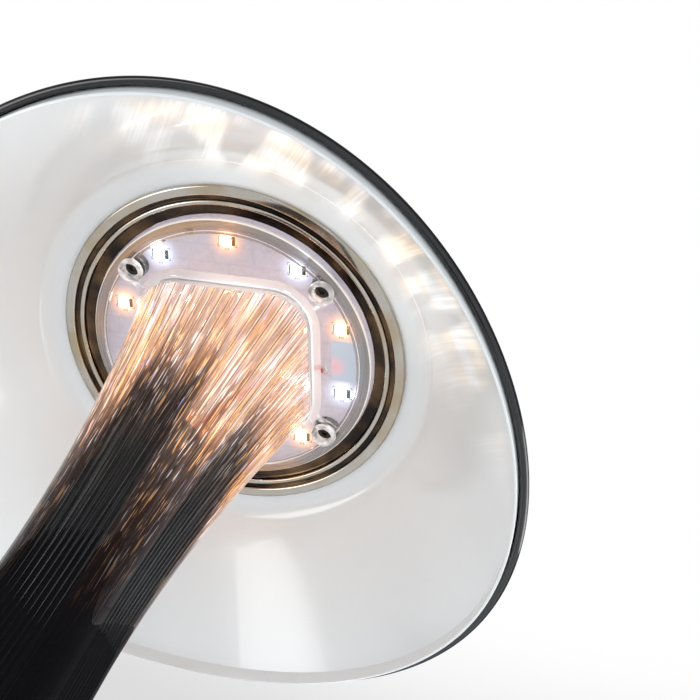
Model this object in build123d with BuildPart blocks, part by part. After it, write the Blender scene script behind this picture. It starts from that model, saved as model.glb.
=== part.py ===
from build123d import *
import math
import os

os.makedirs("parts", exist_ok=True)

# A table lamp for reading: a waved dish shade on a clear fluted stem, with a heavy round foot.
# Millimetres. The origin is the middle of the footprint on the table, and +Z is up.
# The flat sides of the stem face X and Y. The rim is low at both ends of X and high at both ends of Y.

# Shade
bezel_height = 363.6  # underside of the polished ring above the table
shade_depth = 53.3  # mean rim up to that underside
rim_radius = 104.5  # outside of the reflector's lip
rim_wave = 9.05  # drop of the rim at X, and its rise at Y
wave_power = 1.5  # how late the wave sets in towards the rim
reflector_wall = 0.8
shell_wall = 1.2
bead_radius = 1.3  # rounded edge of the black shell
lip_height = 4.2  # turned-down edge of the reflector
lip_rise = 0.5  # foot of that lip above the mean rim
collar_width = 7.7  # flat collar outside the polished ring, up to where it would meet the skirt
collar_round = 6.0
dome_offset = 5.0  # the skirt turns into the crown this far outside the collar
crown_margin = 5.0  # flat of the crown outside the button's ring
shade_steps = 16  # profiles in half a turn

# Polished ring
bezel_radius = 59.3
bezel_lip = 1.5  # thickness of its outer lip
lip_width = 3.5
groove_width = 1.7
ridge_width = 1.6
recess_width = 4.0
groove_depth = 1.6
ridge_drop = 0.4
recess_depth = 2.6
collar_cover = 2.0  # the ring's lip laps over the collar by this much

# Board and lamps
board_rise = 4.0  # underside of the board above the ring's underside
board_wall = 1.6
board_lap = 1.2  # the board laps over the ring by this much
led_inset = 10.2  # middle of a lamp inside the board's edge
led_count = 10
led_length = 5.4
led_width = 3.2
led_height = 0.8
led_first = -90.0  # direction of the first warm lamp, degrees
patch_length = 11.0
patch_width = 15.0
patch_height = 0.3
gauge_hole = 1.75
gauge_inset = 6.3
gauge_angle = -107.0
pad_wall = 0.5

# Core plate in the head
plate_wall = 4.0
core_lap = 4.7  # width of the ring that presses on the collar
core_step = 3.0  # how far that ring lies below the plate's top
boss_wall = 4.1
rib_count = 8
rib_wall = 2.0
rib_height = 8.5
rib_inset = 4.0  # foot of a rib inside the plate's edge

# Button
cap_radius = 11.9
cap_wall = 1.5
cap_proud = 0.8
cap_travel = 0.6
neck_wall = 2.6
ring_width = 4.4
ring_height = 1.2
flange_wall = 1.2
flange_width = 1.4
post_radius = 2.2
switch_size = 6.0
switch_height = 3.4
plunger_radius = 1.7
plunger_out = 0.8
plunger_deep = 1.0
control_wall = 1.2
pin_radius = 0.4
pin_pitch = 2.54
pin_row = 8.0
pin_count = 3

# Stem
flange_margin = 18.5  # clear flange outside the stem's flat side
stem_waist_half = 16.2
stem_foot_half = 26.0
stem_waist_height = 228.0
stem_ratio = 0.93  # width in Y over width in X
corner_share = 0.48  # corner radius over half width
flare_power = 1.7
stem_wall = 2.9
flute_count = 9  # on each side
flute_share = 0.17  # depth of a flute over its width
fillet_height = 5.0  # smooth widening between the flutes and the flange
fillet_width = 1.9
fillet_sink = 0.2  # its foot lies this far inside the flutes
flange_gap = 0.4  # clear flange inside the polished ring
flange_drop = 1.2  # underside of the flange below the ring
clear_wall = 2.4  # thickness of the clear flange
screw_inset = 6.1  # screws inside the clear flange's edge
screw_angle = 40.0  # from X, degrees
clear_boss = 4.2
boss_drop = 1.5

# Screws
head_radius = 2.5
head_height = 1.7
head_sink = 0.9  # screw head above the flange's underside
shank_radius = 1.4
shank_bite = 8.0
socket_radius = 1.2
socket_deep = 0.9

# Core of the stem
tube_top = 303.0
tube_cap_height = 4.0
plug_deep = 3.0
cell_radius = 9.2
cell_length = 65.2
link_wall = 0.4
contact_wall = 0.6
cell_board_wall = 1.2
support_wall = 2.6
strip_width = 3.0
strip_wall = 0.3
wire_radius = 0.65
wire_front = 1.0  # leads before the tube's middle plane
lead_out = 1.8  # soldered end of a lead outside the stem's flat side
lead_run = 7.0  # last run of a lead, along the board
lead_rise = 0.9
lead_shift = 3.3
slot_width = 9.6
slot_height = 13.0

# Foot
foot_radius = 55.0
foot_top = 20.0
foot_round = 4.0
foot_wall = 2.5
foot_roof = 4.0
foot_lift = 1.5  # housing and cover above the table
cover_wall = 3.5
groove_sink = 1.1
rubber_inner = 44.0
rubber_outer = 50.0
post_circle = 46.5
post_wall_radius = 3.5
cover_head = 2.4
cover_head_height = 1.5
cover_shank = 1.15
cover_bite = 7.9
spigot_height = 4.0
weight_outer = 42.0
weight_inner = 14.0
weight_height = 6.0
weight_slot = 29.0  # gap in the weight for the charging board
stem_flange_radius = 40.0
stem_flange_wall = 3.0
stem_screw_circle = 34.0
stem_screw_bite = 2.8

# Charging socket
charge_length = 20.5
charge_width = 24.0
charge_wall = 1.2
charge_side = 4.0  # charging leads beside the middle plane
charge_lap = 3.0  # their soldered ends on the board
charge_rise = 3.0  # board above the cover
charge_inner = 30.0
standoff_radius = 2.5
standoff_place = 8.5
standoff_row = 38.0
port_width = 8.94
port_height = 3.16
port_wall = 0.3
port_length = 7.3
port_sink = 0.7  # mouth of the socket behind the wall's face
tongue_width = 6.7
tongue_wall = 0.7
tongue_length = 4.4
tongue_root = 1.4
light_radius = 1.0
light_place = 8.6

# Clearances
seat = 0.3  # curved faces side by side, and loose fits
skin_gap = 0.35  # reflector to shell
thread = 0.05  # screw in its own hole
slide_fit = 0.1  # button in its ring
slip = 0.1

# Heights and radii that follow
rim_height = bezel_height - shade_depth
collar_radius = bezel_radius + collar_width
collar_height = shade_depth + bezel_lip + seat
collar_bore = bezel_radius - collar_cover
lip_top = lip_rise + lip_height
skirt_rise = (collar_height - lip_top) / (rim_radius - collar_radius)
skirt_angle = math.atan(skirt_rise)
inner_skin = reflector_wall + skin_gap
outer_skin = inner_skin + shell_wall
wave_start = collar_radius + dome_offset

body_radius = collar_bore - seat
groove_outer = bezel_radius - lip_width
ridge_outer = groove_outer - groove_width
ridge_inner = ridge_outer - ridge_width
bezel_bore = ridge_inner - recess_width
clear_radius = bezel_bore - flange_gap
board_radius = bezel_bore + board_lap
led_circle = board_radius - led_inset
gauge_circle = board_radius - gauge_inset
screw_circle = clear_radius - screw_inset
screw_x = screw_circle * math.cos(math.radians(screw_angle))
screw_y = screw_circle * math.sin(math.radians(screw_angle))
stem_top_half = clear_radius - flange_margin

board_bottom = bezel_height + board_rise
board_top = board_bottom + board_wall
plate_bottom = board_top + pad_wall
plate_top = plate_bottom + plate_wall
collar_top = rim_height + collar_height + reflector_wall

bore_radius = cap_radius + slide_fit
neck_radius = bore_radius + neck_wall
ring_radius = neck_radius + ring_width
boss_bore = neck_radius + seat
boss_radius = boss_bore + boss_wall
crown_radius = ring_radius + crown_margin

control_top = plate_top + control_wall
switch_top = control_top + switch_height
plunger_top = switch_top + plunger_out
cap_flange_bottom = switch_top + cap_travel - slip
neck_bottom = cap_flange_bottom + flange_wall + slip

flange_bottom = bezel_height - flange_drop
head_bottom = flange_bottom + head_sink
head_seat = head_bottom + head_height

cover_bottom = foot_lift
cover_top = cover_bottom + cover_wall
groove_top = cover_bottom + groove_sink
housing_inner = foot_radius - foot_wall
roof_bottom = foot_top - foot_roof
stem_bottom = roof_bottom - stem_flange_wall
board_seat = cover_top + charge_rise
charge_top = board_seat + charge_wall
port_middle = charge_top + port_height / 2
port_mouth = foot_radius - port_sink
port_back = port_mouth - port_length

stem_waist_depth = stem_waist_half * stem_ratio
tube_radius = stem_waist_depth - stem_wall - seat
tube_bore = cell_radius + seat
spigot_top = cover_top + spigot_height
support_radius = tube_bore - seat
contact_top = tube_top - plug_deep
contact_bottom = contact_top - contact_wall
upper_cell_bottom = contact_bottom - cell_length
lower_cell_top = upper_cell_bottom - link_wall
lower_cell_bottom = lower_cell_top - cell_length
cell_board_bottom = lower_cell_bottom - cell_board_wall
wire_side = cell_radius / 3


def polar(radius, degrees):
    """Point at a radius and a direction in the plane."""
    angle = math.radians(degrees)
    return (radius * math.cos(angle), radius * math.sin(angle))


# The shade's skins
# A profile is drawn in a plane through the lamp's axis, as radius and height above the rim.
def meridian(turn):
    """Plane through the axis, with its first direction outward at this angle."""
    outward = (math.cos(turn), math.sin(turn), 0)
    sideways = (math.sin(turn), -math.cos(turn), 0)
    return Plane(origin=(0, 0, rim_height), x_dir=outward, z_dir=sideways)


def wave(radius, turn):
    """Height that the wave adds at this radius and angle."""
    share = max(0.0, (radius - wave_start) / (rim_radius - wave_start))
    return -rim_wave * share**wave_power * math.cos(2 * turn)


def wave_slope(radius, turn):
    """Slope that the wave adds to the skirt there."""
    span = rim_radius - wave_start
    share = max(0.0, (radius - wave_start) / span)
    return -rim_wave * wave_power / span * share ** (wave_power - 1) * math.cos(2 * turn)


def skirt_point(radius, skin, turn):
    """Point of the skirt, moved outward from the reflector's face by a skin."""
    height = lip_top + (rim_radius - radius) * skirt_rise + skin / math.cos(skirt_angle)
    return (radius, height + wave(radius, turn))


def downhill(radius, turn):
    """Direction of the skirt towards the rim."""
    slope = wave_slope(radius, turn) - skirt_rise
    length = math.hypot(1, slope)
    return (1 / length, slope / length)


def uphill(radius, turn):
    """Direction of the skirt towards the crown."""
    outward, upward = downhill(radius, turn)
    return (-outward, -upward)


def between(first, last, count):
    """Evenly spaced values between two ends, without the ends."""
    return [first + (last - first) * step / (count + 1) for step in range(1, count + 1)]


def skirt_curve(start, end, skin, turn):
    """Smooth curve of the skirt between two points that lie on it, going down or up."""
    heading = downhill if end[0] > start[0] else uphill
    inner = [skirt_point(radius, skin, turn) for radius in between(start[0], end[0], 4)]
    tangents = [heading(start[0], turn), heading(end[0], turn)]
    Spline(start, *inner, end, tangents=tangents)


def arc_about(centre, radius, first, last):
    """Arc about a centre, where an angle of zero points up and turns outward."""
    points = []
    for angle in (first, (first + last) / 2, last):
        points.append((centre[0] + radius * math.sin(angle), centre[1] + radius * math.cos(angle)))
    ThreePointArc(*points)
    return points


dome_start = skirt_point(wave_start, outer_skin, 0)
dome_radius = (wave_start - crown_radius) / math.sin(skirt_angle)
crown_height = dome_start[1] + dome_radius * (1 - math.cos(skirt_angle))
dome_centre = (crown_radius, crown_height - dome_radius)
crown_bore = cap_radius / 2
shell_top = rim_height + crown_height


def shell_profile(turn):
    """Black skin: crown, skirt and the rounded bead that closes over the reflector's lip."""
    bead_middle = rim_radius + skin_gap + bead_radius
    bead_shift = outer_skin - bead_radius - (bead_middle - rim_radius) * math.sin(skirt_angle)
    bead_height = lip_top + bead_shift / math.cos(skirt_angle) + wave(bead_middle, turn)
    bead = (bead_middle, bead_height)
    lean = math.atan(skirt_rise - wave_slope(bead_middle, turn))
    inner_top = skirt_point(bead_middle - bead_radius, inner_skin, turn)
    outer_dome = arc_about(dome_centre, dome_radius, 0, skirt_angle)
    inner_dome = arc_about(dome_centre, dome_radius - shell_wall, skirt_angle, 0)
    rim = arc_about(bead, bead_radius, lean, 1.5 * math.pi)
    skirt_curve(outer_dome[2], rim[0], outer_skin, turn)
    Line(rim[2], inner_top)
    skirt_curve(inner_top, inner_dome[0], inner_skin, turn)
    Line(inner_dome[2], (crown_bore, inner_dome[2][1]))
    Line((crown_bore, inner_dome[2][1]), (crown_bore, crown_height))
    Line((crown_bore, crown_height), outer_dome[0])


def reflector_profile(turn):
    """White skin: flat collar, rounded corner, skirt and turned-down lip."""
    reach = collar_round * math.tan(skirt_angle / 2)
    centre = (collar_radius - reach, collar_height - collar_round)
    foot = lip_rise + wave(rim_radius, turn)
    lip_inner = rim_radius - reflector_wall
    under = arc_about(centre, collar_round, 0, skirt_angle)
    over = arc_about(centre, collar_round + reflector_wall, skirt_angle, 0)
    inner_end = skirt_point(lip_inner, 0, turn)
    outer_end = skirt_point(rim_radius, reflector_wall, turn)
    skirt_curve(under[2], inner_end, 0, turn)
    Line(inner_end, (lip_inner, foot))
    Line((lip_inner, foot), (rim_radius, foot))
    Line((rim_radius, foot), outer_end)
    skirt_curve(outer_end, over[0], reflector_wall, turn)
    Line(over[2], (collar_bore, over[2][1]))
    Line((collar_bore, over[2][1]), (collar_bore, collar_height))
    Line((collar_bore, collar_height), under[0])


with BuildPart() as shade_shell:
    for step in range(shade_steps + 1):
        turn = math.pi * step / shade_steps
        with BuildSketch(meridian(turn)):
            with BuildLine():
                shell_profile(turn)
            make_face()
    loft()
    mirror(about=Plane.XZ)
    with Locations((0, 0, shell_top)):
        Hole(boss_bore)
shade_shell.part.label = "shade_shell"
export_step(shade_shell.part, "parts/shade_shell.step")

with BuildPart() as shade_reflector:
    for step in range(shade_steps + 1):
        turn = math.pi * step / shade_steps
        with BuildSketch(meridian(turn)):
            with BuildLine():
                reflector_profile(turn)
            make_face()
    loft()
    mirror(about=Plane.XZ)
shade_reflector.part.label = "shade_reflector"
export_step(shade_reflector.part, "parts/shade_reflector.step")

# Polished ring: lip, groove, ridge and recess, with a body that stands up inside the collar's bore
with BuildPart() as bezel_ring:
    with BuildSketch(Plane.XZ):
        with BuildLine():
            Polyline(
                (bezel_bore, bezel_height + recess_depth),
                (ridge_inner, bezel_height + recess_depth),
                (ridge_inner, bezel_height + ridge_drop),
                (ridge_outer, bezel_height + ridge_drop),
                (ridge_outer, bezel_height + groove_depth),
                (groove_outer, bezel_height + groove_depth),
                (groove_outer, bezel_height),
                (bezel_radius, bezel_height),
                (bezel_radius, bezel_height + bezel_lip),
                (body_radius, bezel_height + bezel_lip),
                (body_radius, plate_bottom),
                (board_radius + seat, plate_bottom),
                (board_radius + seat, board_bottom - seat),
                (bezel_bore, board_bottom - seat),
                close=True,
            )
        make_face()
    revolve(axis=Axis.Z)
    ring_edges = bezel_ring.edges().filter_by(GeomType.CIRCLE)
    low_edges = [edge for edge in ring_edges if edge.center().Z < bezel_height + ridge_drop + slip]
    fillet(low_edges, bezel_lip / 4)
bezel_ring.part.label = "bezel_ring"
export_step(bezel_ring.part, "parts/bezel_ring.step")

# Core plate: carries the board, the stem, the collar and, on its boss, the shell and the button
with BuildPart() as head_core:
    core_inner = body_radius + seat
    core_flange = collar_bore + core_lap
    with BuildSketch(Plane.XZ):
        with BuildLine():
            Polyline(
                (0, plate_bottom),
                (core_inner, plate_bottom),
                (core_inner, collar_top + thread),
                (core_flange, collar_top + thread),
                (core_flange, plate_top - core_step),
                (core_inner, plate_top - core_step),
                (core_inner, plate_top),
                (boss_radius, plate_top),
                (boss_radius, shell_top - shell_wall),
                (boss_bore, shell_top - shell_wall),
                (boss_bore, plate_top),
                (0, plate_top),
                close=True,
            )
        make_face()
    revolve(axis=Axis.Z)
    rib_start = boss_radius - boss_wall / 2
    rib_reach = core_inner - rib_inset
    for number in range(rib_count):
        rib_turn = 360 * (number + 0.5) / rib_count
        with BuildSketch(Plane.XZ.rotated((0, 0, rib_turn))):
            with BuildLine():
                Polyline(
                    (rib_start, plate_top),
                    (rib_reach, plate_top),
                    (rib_start, plate_top + rib_height),
                    close=True,
                )
            make_face()
        extrude(amount=rib_wall / 2, both=True)
    with Locations((0, 0, plate_bottom)):
        with GridLocations(2 * screw_x, 2 * screw_y, 2, 2):
            Hole(shank_radius + thread)
    with Locations((0, pin_row, plate_bottom)):
        Hole(pin_pitch * pin_count / 2)
head_core.part.label = "head_core"
export_step(head_core.part, "parts/head_core.step")

# Board, its pad and what is on it
with BuildPart() as led_board:
    with BuildSketch(Plane.XY.offset(board_bottom)):
        Circle(board_radius)
        with GridLocations(2 * screw_x, 2 * screw_y, 2, 2):
            Circle(clear_boss + seat, mode=Mode.SUBTRACT)
        with Locations(polar(gauge_circle, gauge_angle)):
            Circle(gauge_hole, mode=Mode.SUBTRACT)
        with Locations((0, pin_row)):
            with GridLocations(pin_pitch, 0, pin_count, 1):
                Circle(pin_radius + slip, mode=Mode.SUBTRACT)
    extrude(amount=board_wall)
led_board.part.label = "led_board"
export_step(led_board.part, "parts/led_board.step")

with BuildPart() as thermal_pad:
    with BuildSketch(Plane.XY.offset(board_top)):
        Circle(board_radius - seat)
        with GridLocations(2 * screw_x, 2 * screw_y, 2, 2):
            Circle(clear_boss + seat, mode=Mode.SUBTRACT)
        with Locations((0, pin_row)):
            Circle(pin_pitch * pin_count / 2, mode=Mode.SUBTRACT)
    extrude(amount=pad_wall)
thermal_pad.part.label = "thermal_pad"
export_step(thermal_pad.part, "parts/thermal_pad.step")


def led_places(offset):
    """Places of every second lamp, from the first or the second on."""
    pitch = 360 / led_count
    return [polar(led_circle, led_first + pitch * number) for number in range(offset, led_count, 2)]


with BuildPart() as warm_leds:
    with BuildSketch(Plane.XY.offset(board_bottom)):
        with Locations(*led_places(0)):
            Rectangle(led_length, led_width)
    extrude(amount=-led_height)
warm_leds.part.label = "warm_leds"
export_step(warm_leds.part, "parts/warm_leds.step")

with BuildPart() as cool_leds:
    with BuildSketch(Plane.XY.offset(board_bottom)):
        with Locations(*led_places(1)):
            Rectangle(led_length, led_width)
    extrude(amount=-led_height)
cool_leds.part.label = "cool_leds"
export_step(cool_leds.part, "parts/cool_leds.step")

with BuildPart() as board_patch:
    with BuildSketch(Plane.XY.offset(board_bottom)):
        with Locations((led_circle, 0)):
            RectangleRounded(patch_length, patch_width, led_height)
    extrude(amount=-patch_height)
board_patch.part.label = "board_patch"
export_step(board_patch.part, "parts/board_patch.step")

with BuildPart() as board_pins:
    with BuildSketch(Plane.XY.offset(board_bottom - slip)):
        with Locations((0, pin_row)):
            with GridLocations(pin_pitch, 0, pin_count, 1):
                Circle(pin_radius)
    extrude(amount=control_top + seat - board_bottom)
board_pins.part.label = "board_pins"
export_step(board_pins.part, "parts/board_pins.step")

# Button on the crown: the cap slides in its ring and presses the switch on the control board
with BuildPart() as control_board:
    with BuildSketch(Plane.XY.offset(plate_top)):
        Circle(boss_bore - seat)
        with Locations((0, pin_row)):
            with GridLocations(pin_pitch, 0, pin_count, 1):
                Circle(pin_radius + slip, mode=Mode.SUBTRACT)
    extrude(amount=control_wall)
control_board.part.label = "control_board"
export_step(control_board.part, "parts/control_board.step")

with BuildPart() as tact_switch:
    with BuildSketch(Plane.XY.offset(control_top)):
        Rectangle(switch_size, switch_size)
    extrude(amount=switch_height)
    with BuildSketch(Plane.XY.offset(switch_top)):
        Circle(plunger_radius + slide_fit)
    extrude(amount=-(plunger_deep + cap_travel + slip), mode=Mode.SUBTRACT)
tact_switch.part.label = "tact_switch"
export_step(tact_switch.part, "parts/tact_switch.step")

with BuildPart() as switch_plunger:
    with BuildSketch(Plane.XY.offset(switch_top - plunger_deep)):
        Circle(plunger_radius)
    extrude(amount=plunger_deep + plunger_out)
switch_plunger.part.label = "switch_plunger"
export_step(switch_plunger.part, "parts/switch_plunger.step")

with BuildPart() as button_ring:
    with BuildSketch(Plane.XY.offset(neck_bottom)):
        Circle(neck_radius)
        Circle(bore_radius, mode=Mode.SUBTRACT)
    extrude(amount=shell_top - neck_bottom)
    with BuildSketch(Plane.XY.offset(shell_top)):
        Circle(ring_radius)
        Circle(bore_radius, mode=Mode.SUBTRACT)
    extrude(amount=ring_height)
    rim_edges = button_ring.faces().sort_by(Axis.Z)[-1].edges().sort_by(SortBy.RADIUS)
    fillet(rim_edges[-1], ring_height / 3)
button_ring.part.label = "button_ring"
export_step(button_ring.part, "parts/button_ring.step")

with BuildPart() as button_cap:
    cap_top = shell_top + ring_height + cap_proud
    with BuildSketch(Plane.XZ):
        with BuildLine():
            Polyline(
                (0, plunger_top),
                (post_radius, plunger_top),
                (post_radius, cap_top - cap_wall),
                (cap_radius - cap_wall, cap_top - cap_wall),
                (cap_radius - cap_wall, cap_flange_bottom),
                (cap_radius + flange_width, cap_flange_bottom),
                (cap_radius + flange_width, cap_flange_bottom + flange_wall),
                (cap_radius, cap_flange_bottom + flange_wall),
                (cap_radius, cap_top),
                (0, cap_top),
                close=True,
            )
        make_face()
    revolve(axis=Axis.Z)
    top_edges = button_cap.faces().sort_by(Axis.Z)[-1].edges()
    fillet(top_edges, cap_wall / 3)
button_cap.part.label = "button_cap"
export_step(button_cap.part, "parts/button_cap.step")


# The stem: a rounded rectangle with flutes on its four flat sides, narrow at the waist
def half_width(height):
    """Half of the stem's width in X at a height."""
    if height > stem_waist_height:
        share = (height - stem_waist_height) / (flange_bottom - stem_waist_height)
        return stem_waist_half + (stem_top_half - stem_waist_half) * share**flare_power
    share = (stem_waist_height - height) / (stem_waist_height - stem_bottom)
    return stem_waist_half + (stem_foot_half - stem_waist_half) * share**flare_power


def side(number, half, corner):
    """Normal, direction, distance and half length of one side of the rounded rectangle."""
    normal = Vector(*polar(1, 90 * number))
    along = Vector(*polar(1, 90 * number + 90))
    deep = half * stem_ratio
    if number % 2 == 0:
        return normal, along, half, deep - corner
    return normal, along, deep, half - corner


def fluted_outline(half):
    """Outline of the stem: four rows of hollow flutes joined by smooth round corners."""
    corner = half * corner_share
    for number in range(4):
        normal, along, distance, reach = side(number, half, corner)
        width = 2 * reach / flute_count
        for flute in range(flute_count):
            start = normal * distance + along * (flute * width - reach)
            middle = start + along * (width / 2) - normal * (width * flute_share)
            ThreePointArc(start, middle, start + along * width)
        centre = normal * (distance - corner) + along * reach
        first = normal * distance + along * reach
        last = centre + along * corner
        ThreePointArc(first, centre + (normal + along).normalized() * corner, last)


def spread(first, last, count):
    """Evenly spaced heights from the first up to the last."""
    return [first + (last - first) * step / count for step in range(count + 1)]


lower_heights = spread(stem_bottom, stem_waist_height, 4)
upper_heights = spread(stem_waist_height, flange_bottom, 6)
stem_heights = lower_heights + upper_heights[1:]

with BuildPart() as stem_cavity:
    for height in stem_heights:
        with BuildSketch(Plane.XY.offset(height)):
            half = half_width(height)
            inner_corner = half * corner_share - stem_wall
            inner_width = 2 * (half - stem_wall)
            inner_depth = 2 * (half * stem_ratio - stem_wall)
            RectangleRounded(inner_width, inner_depth, inner_corner)
    loft()
    with BuildSketch(Plane.XY.offset(flange_bottom)):
        RectangleRounded(inner_width, inner_depth, inner_corner)
    extrude(amount=clear_wall)

with BuildPart() as fluted_stem:
    for height in stem_heights:
        with BuildSketch(Plane.XY.offset(height)):
            with BuildLine():
                fluted_outline(half_width(height))
            make_face()
    loft()
    with BuildSketch(Plane.XY.offset(flange_bottom)):
        Circle(clear_radius)
    extrude(amount=clear_wall)
    fillet_foot = flange_bottom - fillet_height
    fillet_half = half_width(fillet_foot) - fillet_sink
    with BuildSketch(Plane.XY.offset(fillet_foot)):
        RectangleRounded(2 * fillet_half, 2 * fillet_half * stem_ratio, fillet_half * corner_share)
    fillet_half = stem_top_half + fillet_width
    with BuildSketch(Plane.XY.offset(flange_bottom)):
        RectangleRounded(2 * fillet_half, 2 * fillet_half * stem_ratio, fillet_half * corner_share)
    loft()
    with BuildSketch(Plane.XY.offset(flange_bottom - boss_drop)):
        with GridLocations(2 * screw_x, 2 * screw_y, 2, 2):
            Circle(clear_boss)
    extrude(amount=plate_bottom - flange_bottom + boss_drop)
    with BuildSketch(Plane.XY.offset(stem_bottom)):
        Circle(stem_flange_radius)
    extrude(amount=stem_flange_wall)
    add(stem_cavity.part, mode=Mode.SUBTRACT)
    with BuildSketch(Plane.XY.offset(head_seat)):
        with GridLocations(2 * screw_x, 2 * screw_y, 2, 2):
            Circle(head_radius + seat)
    extrude(amount=-(head_seat - flange_bottom + boss_drop), mode=Mode.SUBTRACT)
    with BuildSketch(Plane.XY.offset(head_seat)):
        with GridLocations(2 * screw_x, 2 * screw_y, 2, 2):
            Circle(shank_radius + seat)
    extrude(amount=plate_bottom - head_seat, mode=Mode.SUBTRACT)
    with BuildSketch(Plane.XY.offset(stem_bottom)):
        with PolarLocations(stem_screw_circle, 4):
            Circle(shank_radius + seat)
    extrude(amount=stem_flange_wall, mode=Mode.SUBTRACT)
fluted_stem.part.label = "fluted_stem"
export_step(fluted_stem.part, "parts/fluted_stem.step")

# Screws: a flat head below, with a six-sided recess, and a shank that points up
with BuildPart() as flange_screws:
    with BuildSketch(Plane.XY.offset(head_bottom)):
        with GridLocations(2 * screw_x, 2 * screw_y, 2, 2):
            Circle(head_radius)
    extrude(amount=head_height)
    with BuildSketch(Plane.XY.offset(head_seat)):
        with GridLocations(2 * screw_x, 2 * screw_y, 2, 2):
            Circle(shank_radius)
    extrude(amount=shank_bite)
    with BuildSketch(Plane.XY.offset(head_bottom)):
        with GridLocations(2 * screw_x, 2 * screw_y, 2, 2):
            RegularPolygon(socket_radius, 6)
    extrude(amount=socket_deep, mode=Mode.SUBTRACT)
flange_screws.part.label = "flange_screws"
export_step(flange_screws.part, "parts/flange_screws.step")

with BuildPart() as stem_screws:
    with BuildSketch(Plane.XY.offset(stem_bottom)):
        with PolarLocations(stem_screw_circle, 4):
            Circle(head_radius)
    extrude(amount=-head_height)
    with BuildSketch(Plane.XY.offset(stem_bottom)):
        with PolarLocations(stem_screw_circle, 4):
            Circle(shank_radius)
    extrude(amount=stem_flange_wall + stem_screw_bite)
    with BuildSketch(Plane.XY.offset(stem_bottom - head_height)):
        with PolarLocations(stem_screw_circle, 4):
            RegularPolygon(socket_radius, 6)
    extrude(amount=socket_deep, mode=Mode.SUBTRACT)
stem_screws.part.label = "stem_screws"
export_step(stem_screws.part, "parts/stem_screws.step")

with BuildPart() as cover_screws:
    with BuildSketch(Plane.XY.offset(groove_top)):
        with PolarLocations(post_circle, 4, 45):
            Circle(cover_head)
    extrude(amount=cover_head_height)
    with BuildSketch(Plane.XY.offset(groove_top + cover_head_height)):
        with PolarLocations(post_circle, 4, 45):
            Circle(cover_shank)
    extrude(amount=cover_bite)
    with BuildSketch(Plane.XY.offset(groove_top)):
        with PolarLocations(post_circle, 4, 45):
            RegularPolygon(socket_radius, 6)
    extrude(amount=socket_deep, mode=Mode.SUBTRACT)
cover_screws.part.label = "cover_screws"
export_step(cover_screws.part, "parts/cover_screws.step")

# Core of the stem: a black tube that stands on the cover and holds two cells
with BuildPart() as battery_tube:
    with BuildSketch(Plane.XY.offset(cover_top)):
        Circle(tube_radius)
        Circle(tube_bore, mode=Mode.SUBTRACT)
    extrude(amount=tube_top - cover_top)
    with BuildSketch(Plane.XY.offset(cell_board_bottom)):
        with Locations((cell_radius + strip_wall, 0)):
            Rectangle(4 * strip_wall, strip_width + 2 * strip_wall)
    extrude(amount=contact_top - cell_board_bottom, mode=Mode.SUBTRACT)
    with BuildSketch(Plane.XY.offset(spigot_top)):
        with Locations((0, tube_radius)):
            Rectangle(slot_width, tube_radius)
    extrude(amount=slot_height, mode=Mode.SUBTRACT)
battery_tube.part.label = "battery_tube"
export_step(battery_tube.part, "parts/battery_tube.step")

with BuildPart() as cell_support:
    with BuildSketch(Plane.XY.offset(spigot_top)):
        Circle(support_radius)
        Circle(support_radius - support_wall, mode=Mode.SUBTRACT)
    extrude(amount=cell_board_bottom - spigot_top)
    with BuildSketch(Plane.XY.offset(spigot_top)):
        with Locations((0, tube_radius)):
            Rectangle(slot_width, 2 * tube_radius)
    extrude(amount=slot_height, mode=Mode.SUBTRACT)
cell_support.part.label = "cell_support"
export_step(cell_support.part, "parts/cell_support.step")

with BuildPart() as cell_board:
    with BuildSketch(Plane.XY.offset(cell_board_bottom)):
        Circle(support_radius)
    extrude(amount=cell_board_wall)
cell_board.part.label = "cell_board"
export_step(cell_board.part, "parts/cell_board.step")

with BuildPart() as lower_cell:
    with BuildSketch(Plane.XY.offset(lower_cell_bottom)):
        Circle(cell_radius)
    extrude(amount=cell_length)
    fillet(lower_cell.edges().filter_by(GeomType.CIRCLE), link_wall)
lower_cell.part.label = "lower_cell"
export_step(lower_cell.part, "parts/lower_cell.step")

with BuildPart() as upper_cell:
    with BuildSketch(Plane.XY.offset(upper_cell_bottom)):
        Circle(cell_radius)
    extrude(amount=cell_length)
    fillet(upper_cell.edges().filter_by(GeomType.CIRCLE), link_wall)
upper_cell.part.label = "upper_cell"
export_step(upper_cell.part, "parts/upper_cell.step")

with BuildPart() as link_plate:
    with BuildSketch(Plane.XY.offset(lower_cell_top)):
        Circle(cell_radius / 2)
    extrude(amount=link_wall)
link_plate.part.label = "link_plate"
export_step(link_plate.part, "parts/link_plate.step")

with BuildPart() as contact_board:
    with BuildSketch(Plane.XY.offset(contact_bottom)):
        Circle(cell_radius - seat)
    extrude(amount=contact_wall)
contact_board.part.label = "contact_board"
export_step(contact_board.part, "parts/contact_board.step")

with BuildPart() as return_strip:
    with BuildSketch(Plane.XY.offset(lower_cell_bottom)):
        with Locations((cell_radius + strip_wall, 0)):
            Rectangle(strip_wall, strip_width)
    extrude(amount=contact_top - lower_cell_bottom)
return_strip.part.label = "return_strip"
export_step(return_strip.part, "parts/return_strip.step")

with BuildPart() as tube_cap:
    with BuildSketch(Plane.XY.offset(tube_top)):
        Circle(tube_radius)
    extrude(amount=tube_cap_height)
    fillet(tube_cap.edges().sort_by(Axis.Z)[-1], tube_cap_height / 4)
    with BuildSketch(Plane.XY.offset(contact_top)):
        Circle(tube_bore - slip)
    extrude(amount=plug_deep)
    with BuildSketch(Plane.XY.offset(contact_top)):
        with Locations((wire_side, wire_front), (-wire_side, wire_front)):
            Circle(wire_radius + seat)
    extrude(amount=plug_deep + tube_cap_height, mode=Mode.SUBTRACT)
tube_cap.part.label = "tube_cap"
export_step(tube_cap.part, "parts/tube_cap.step")


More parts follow.
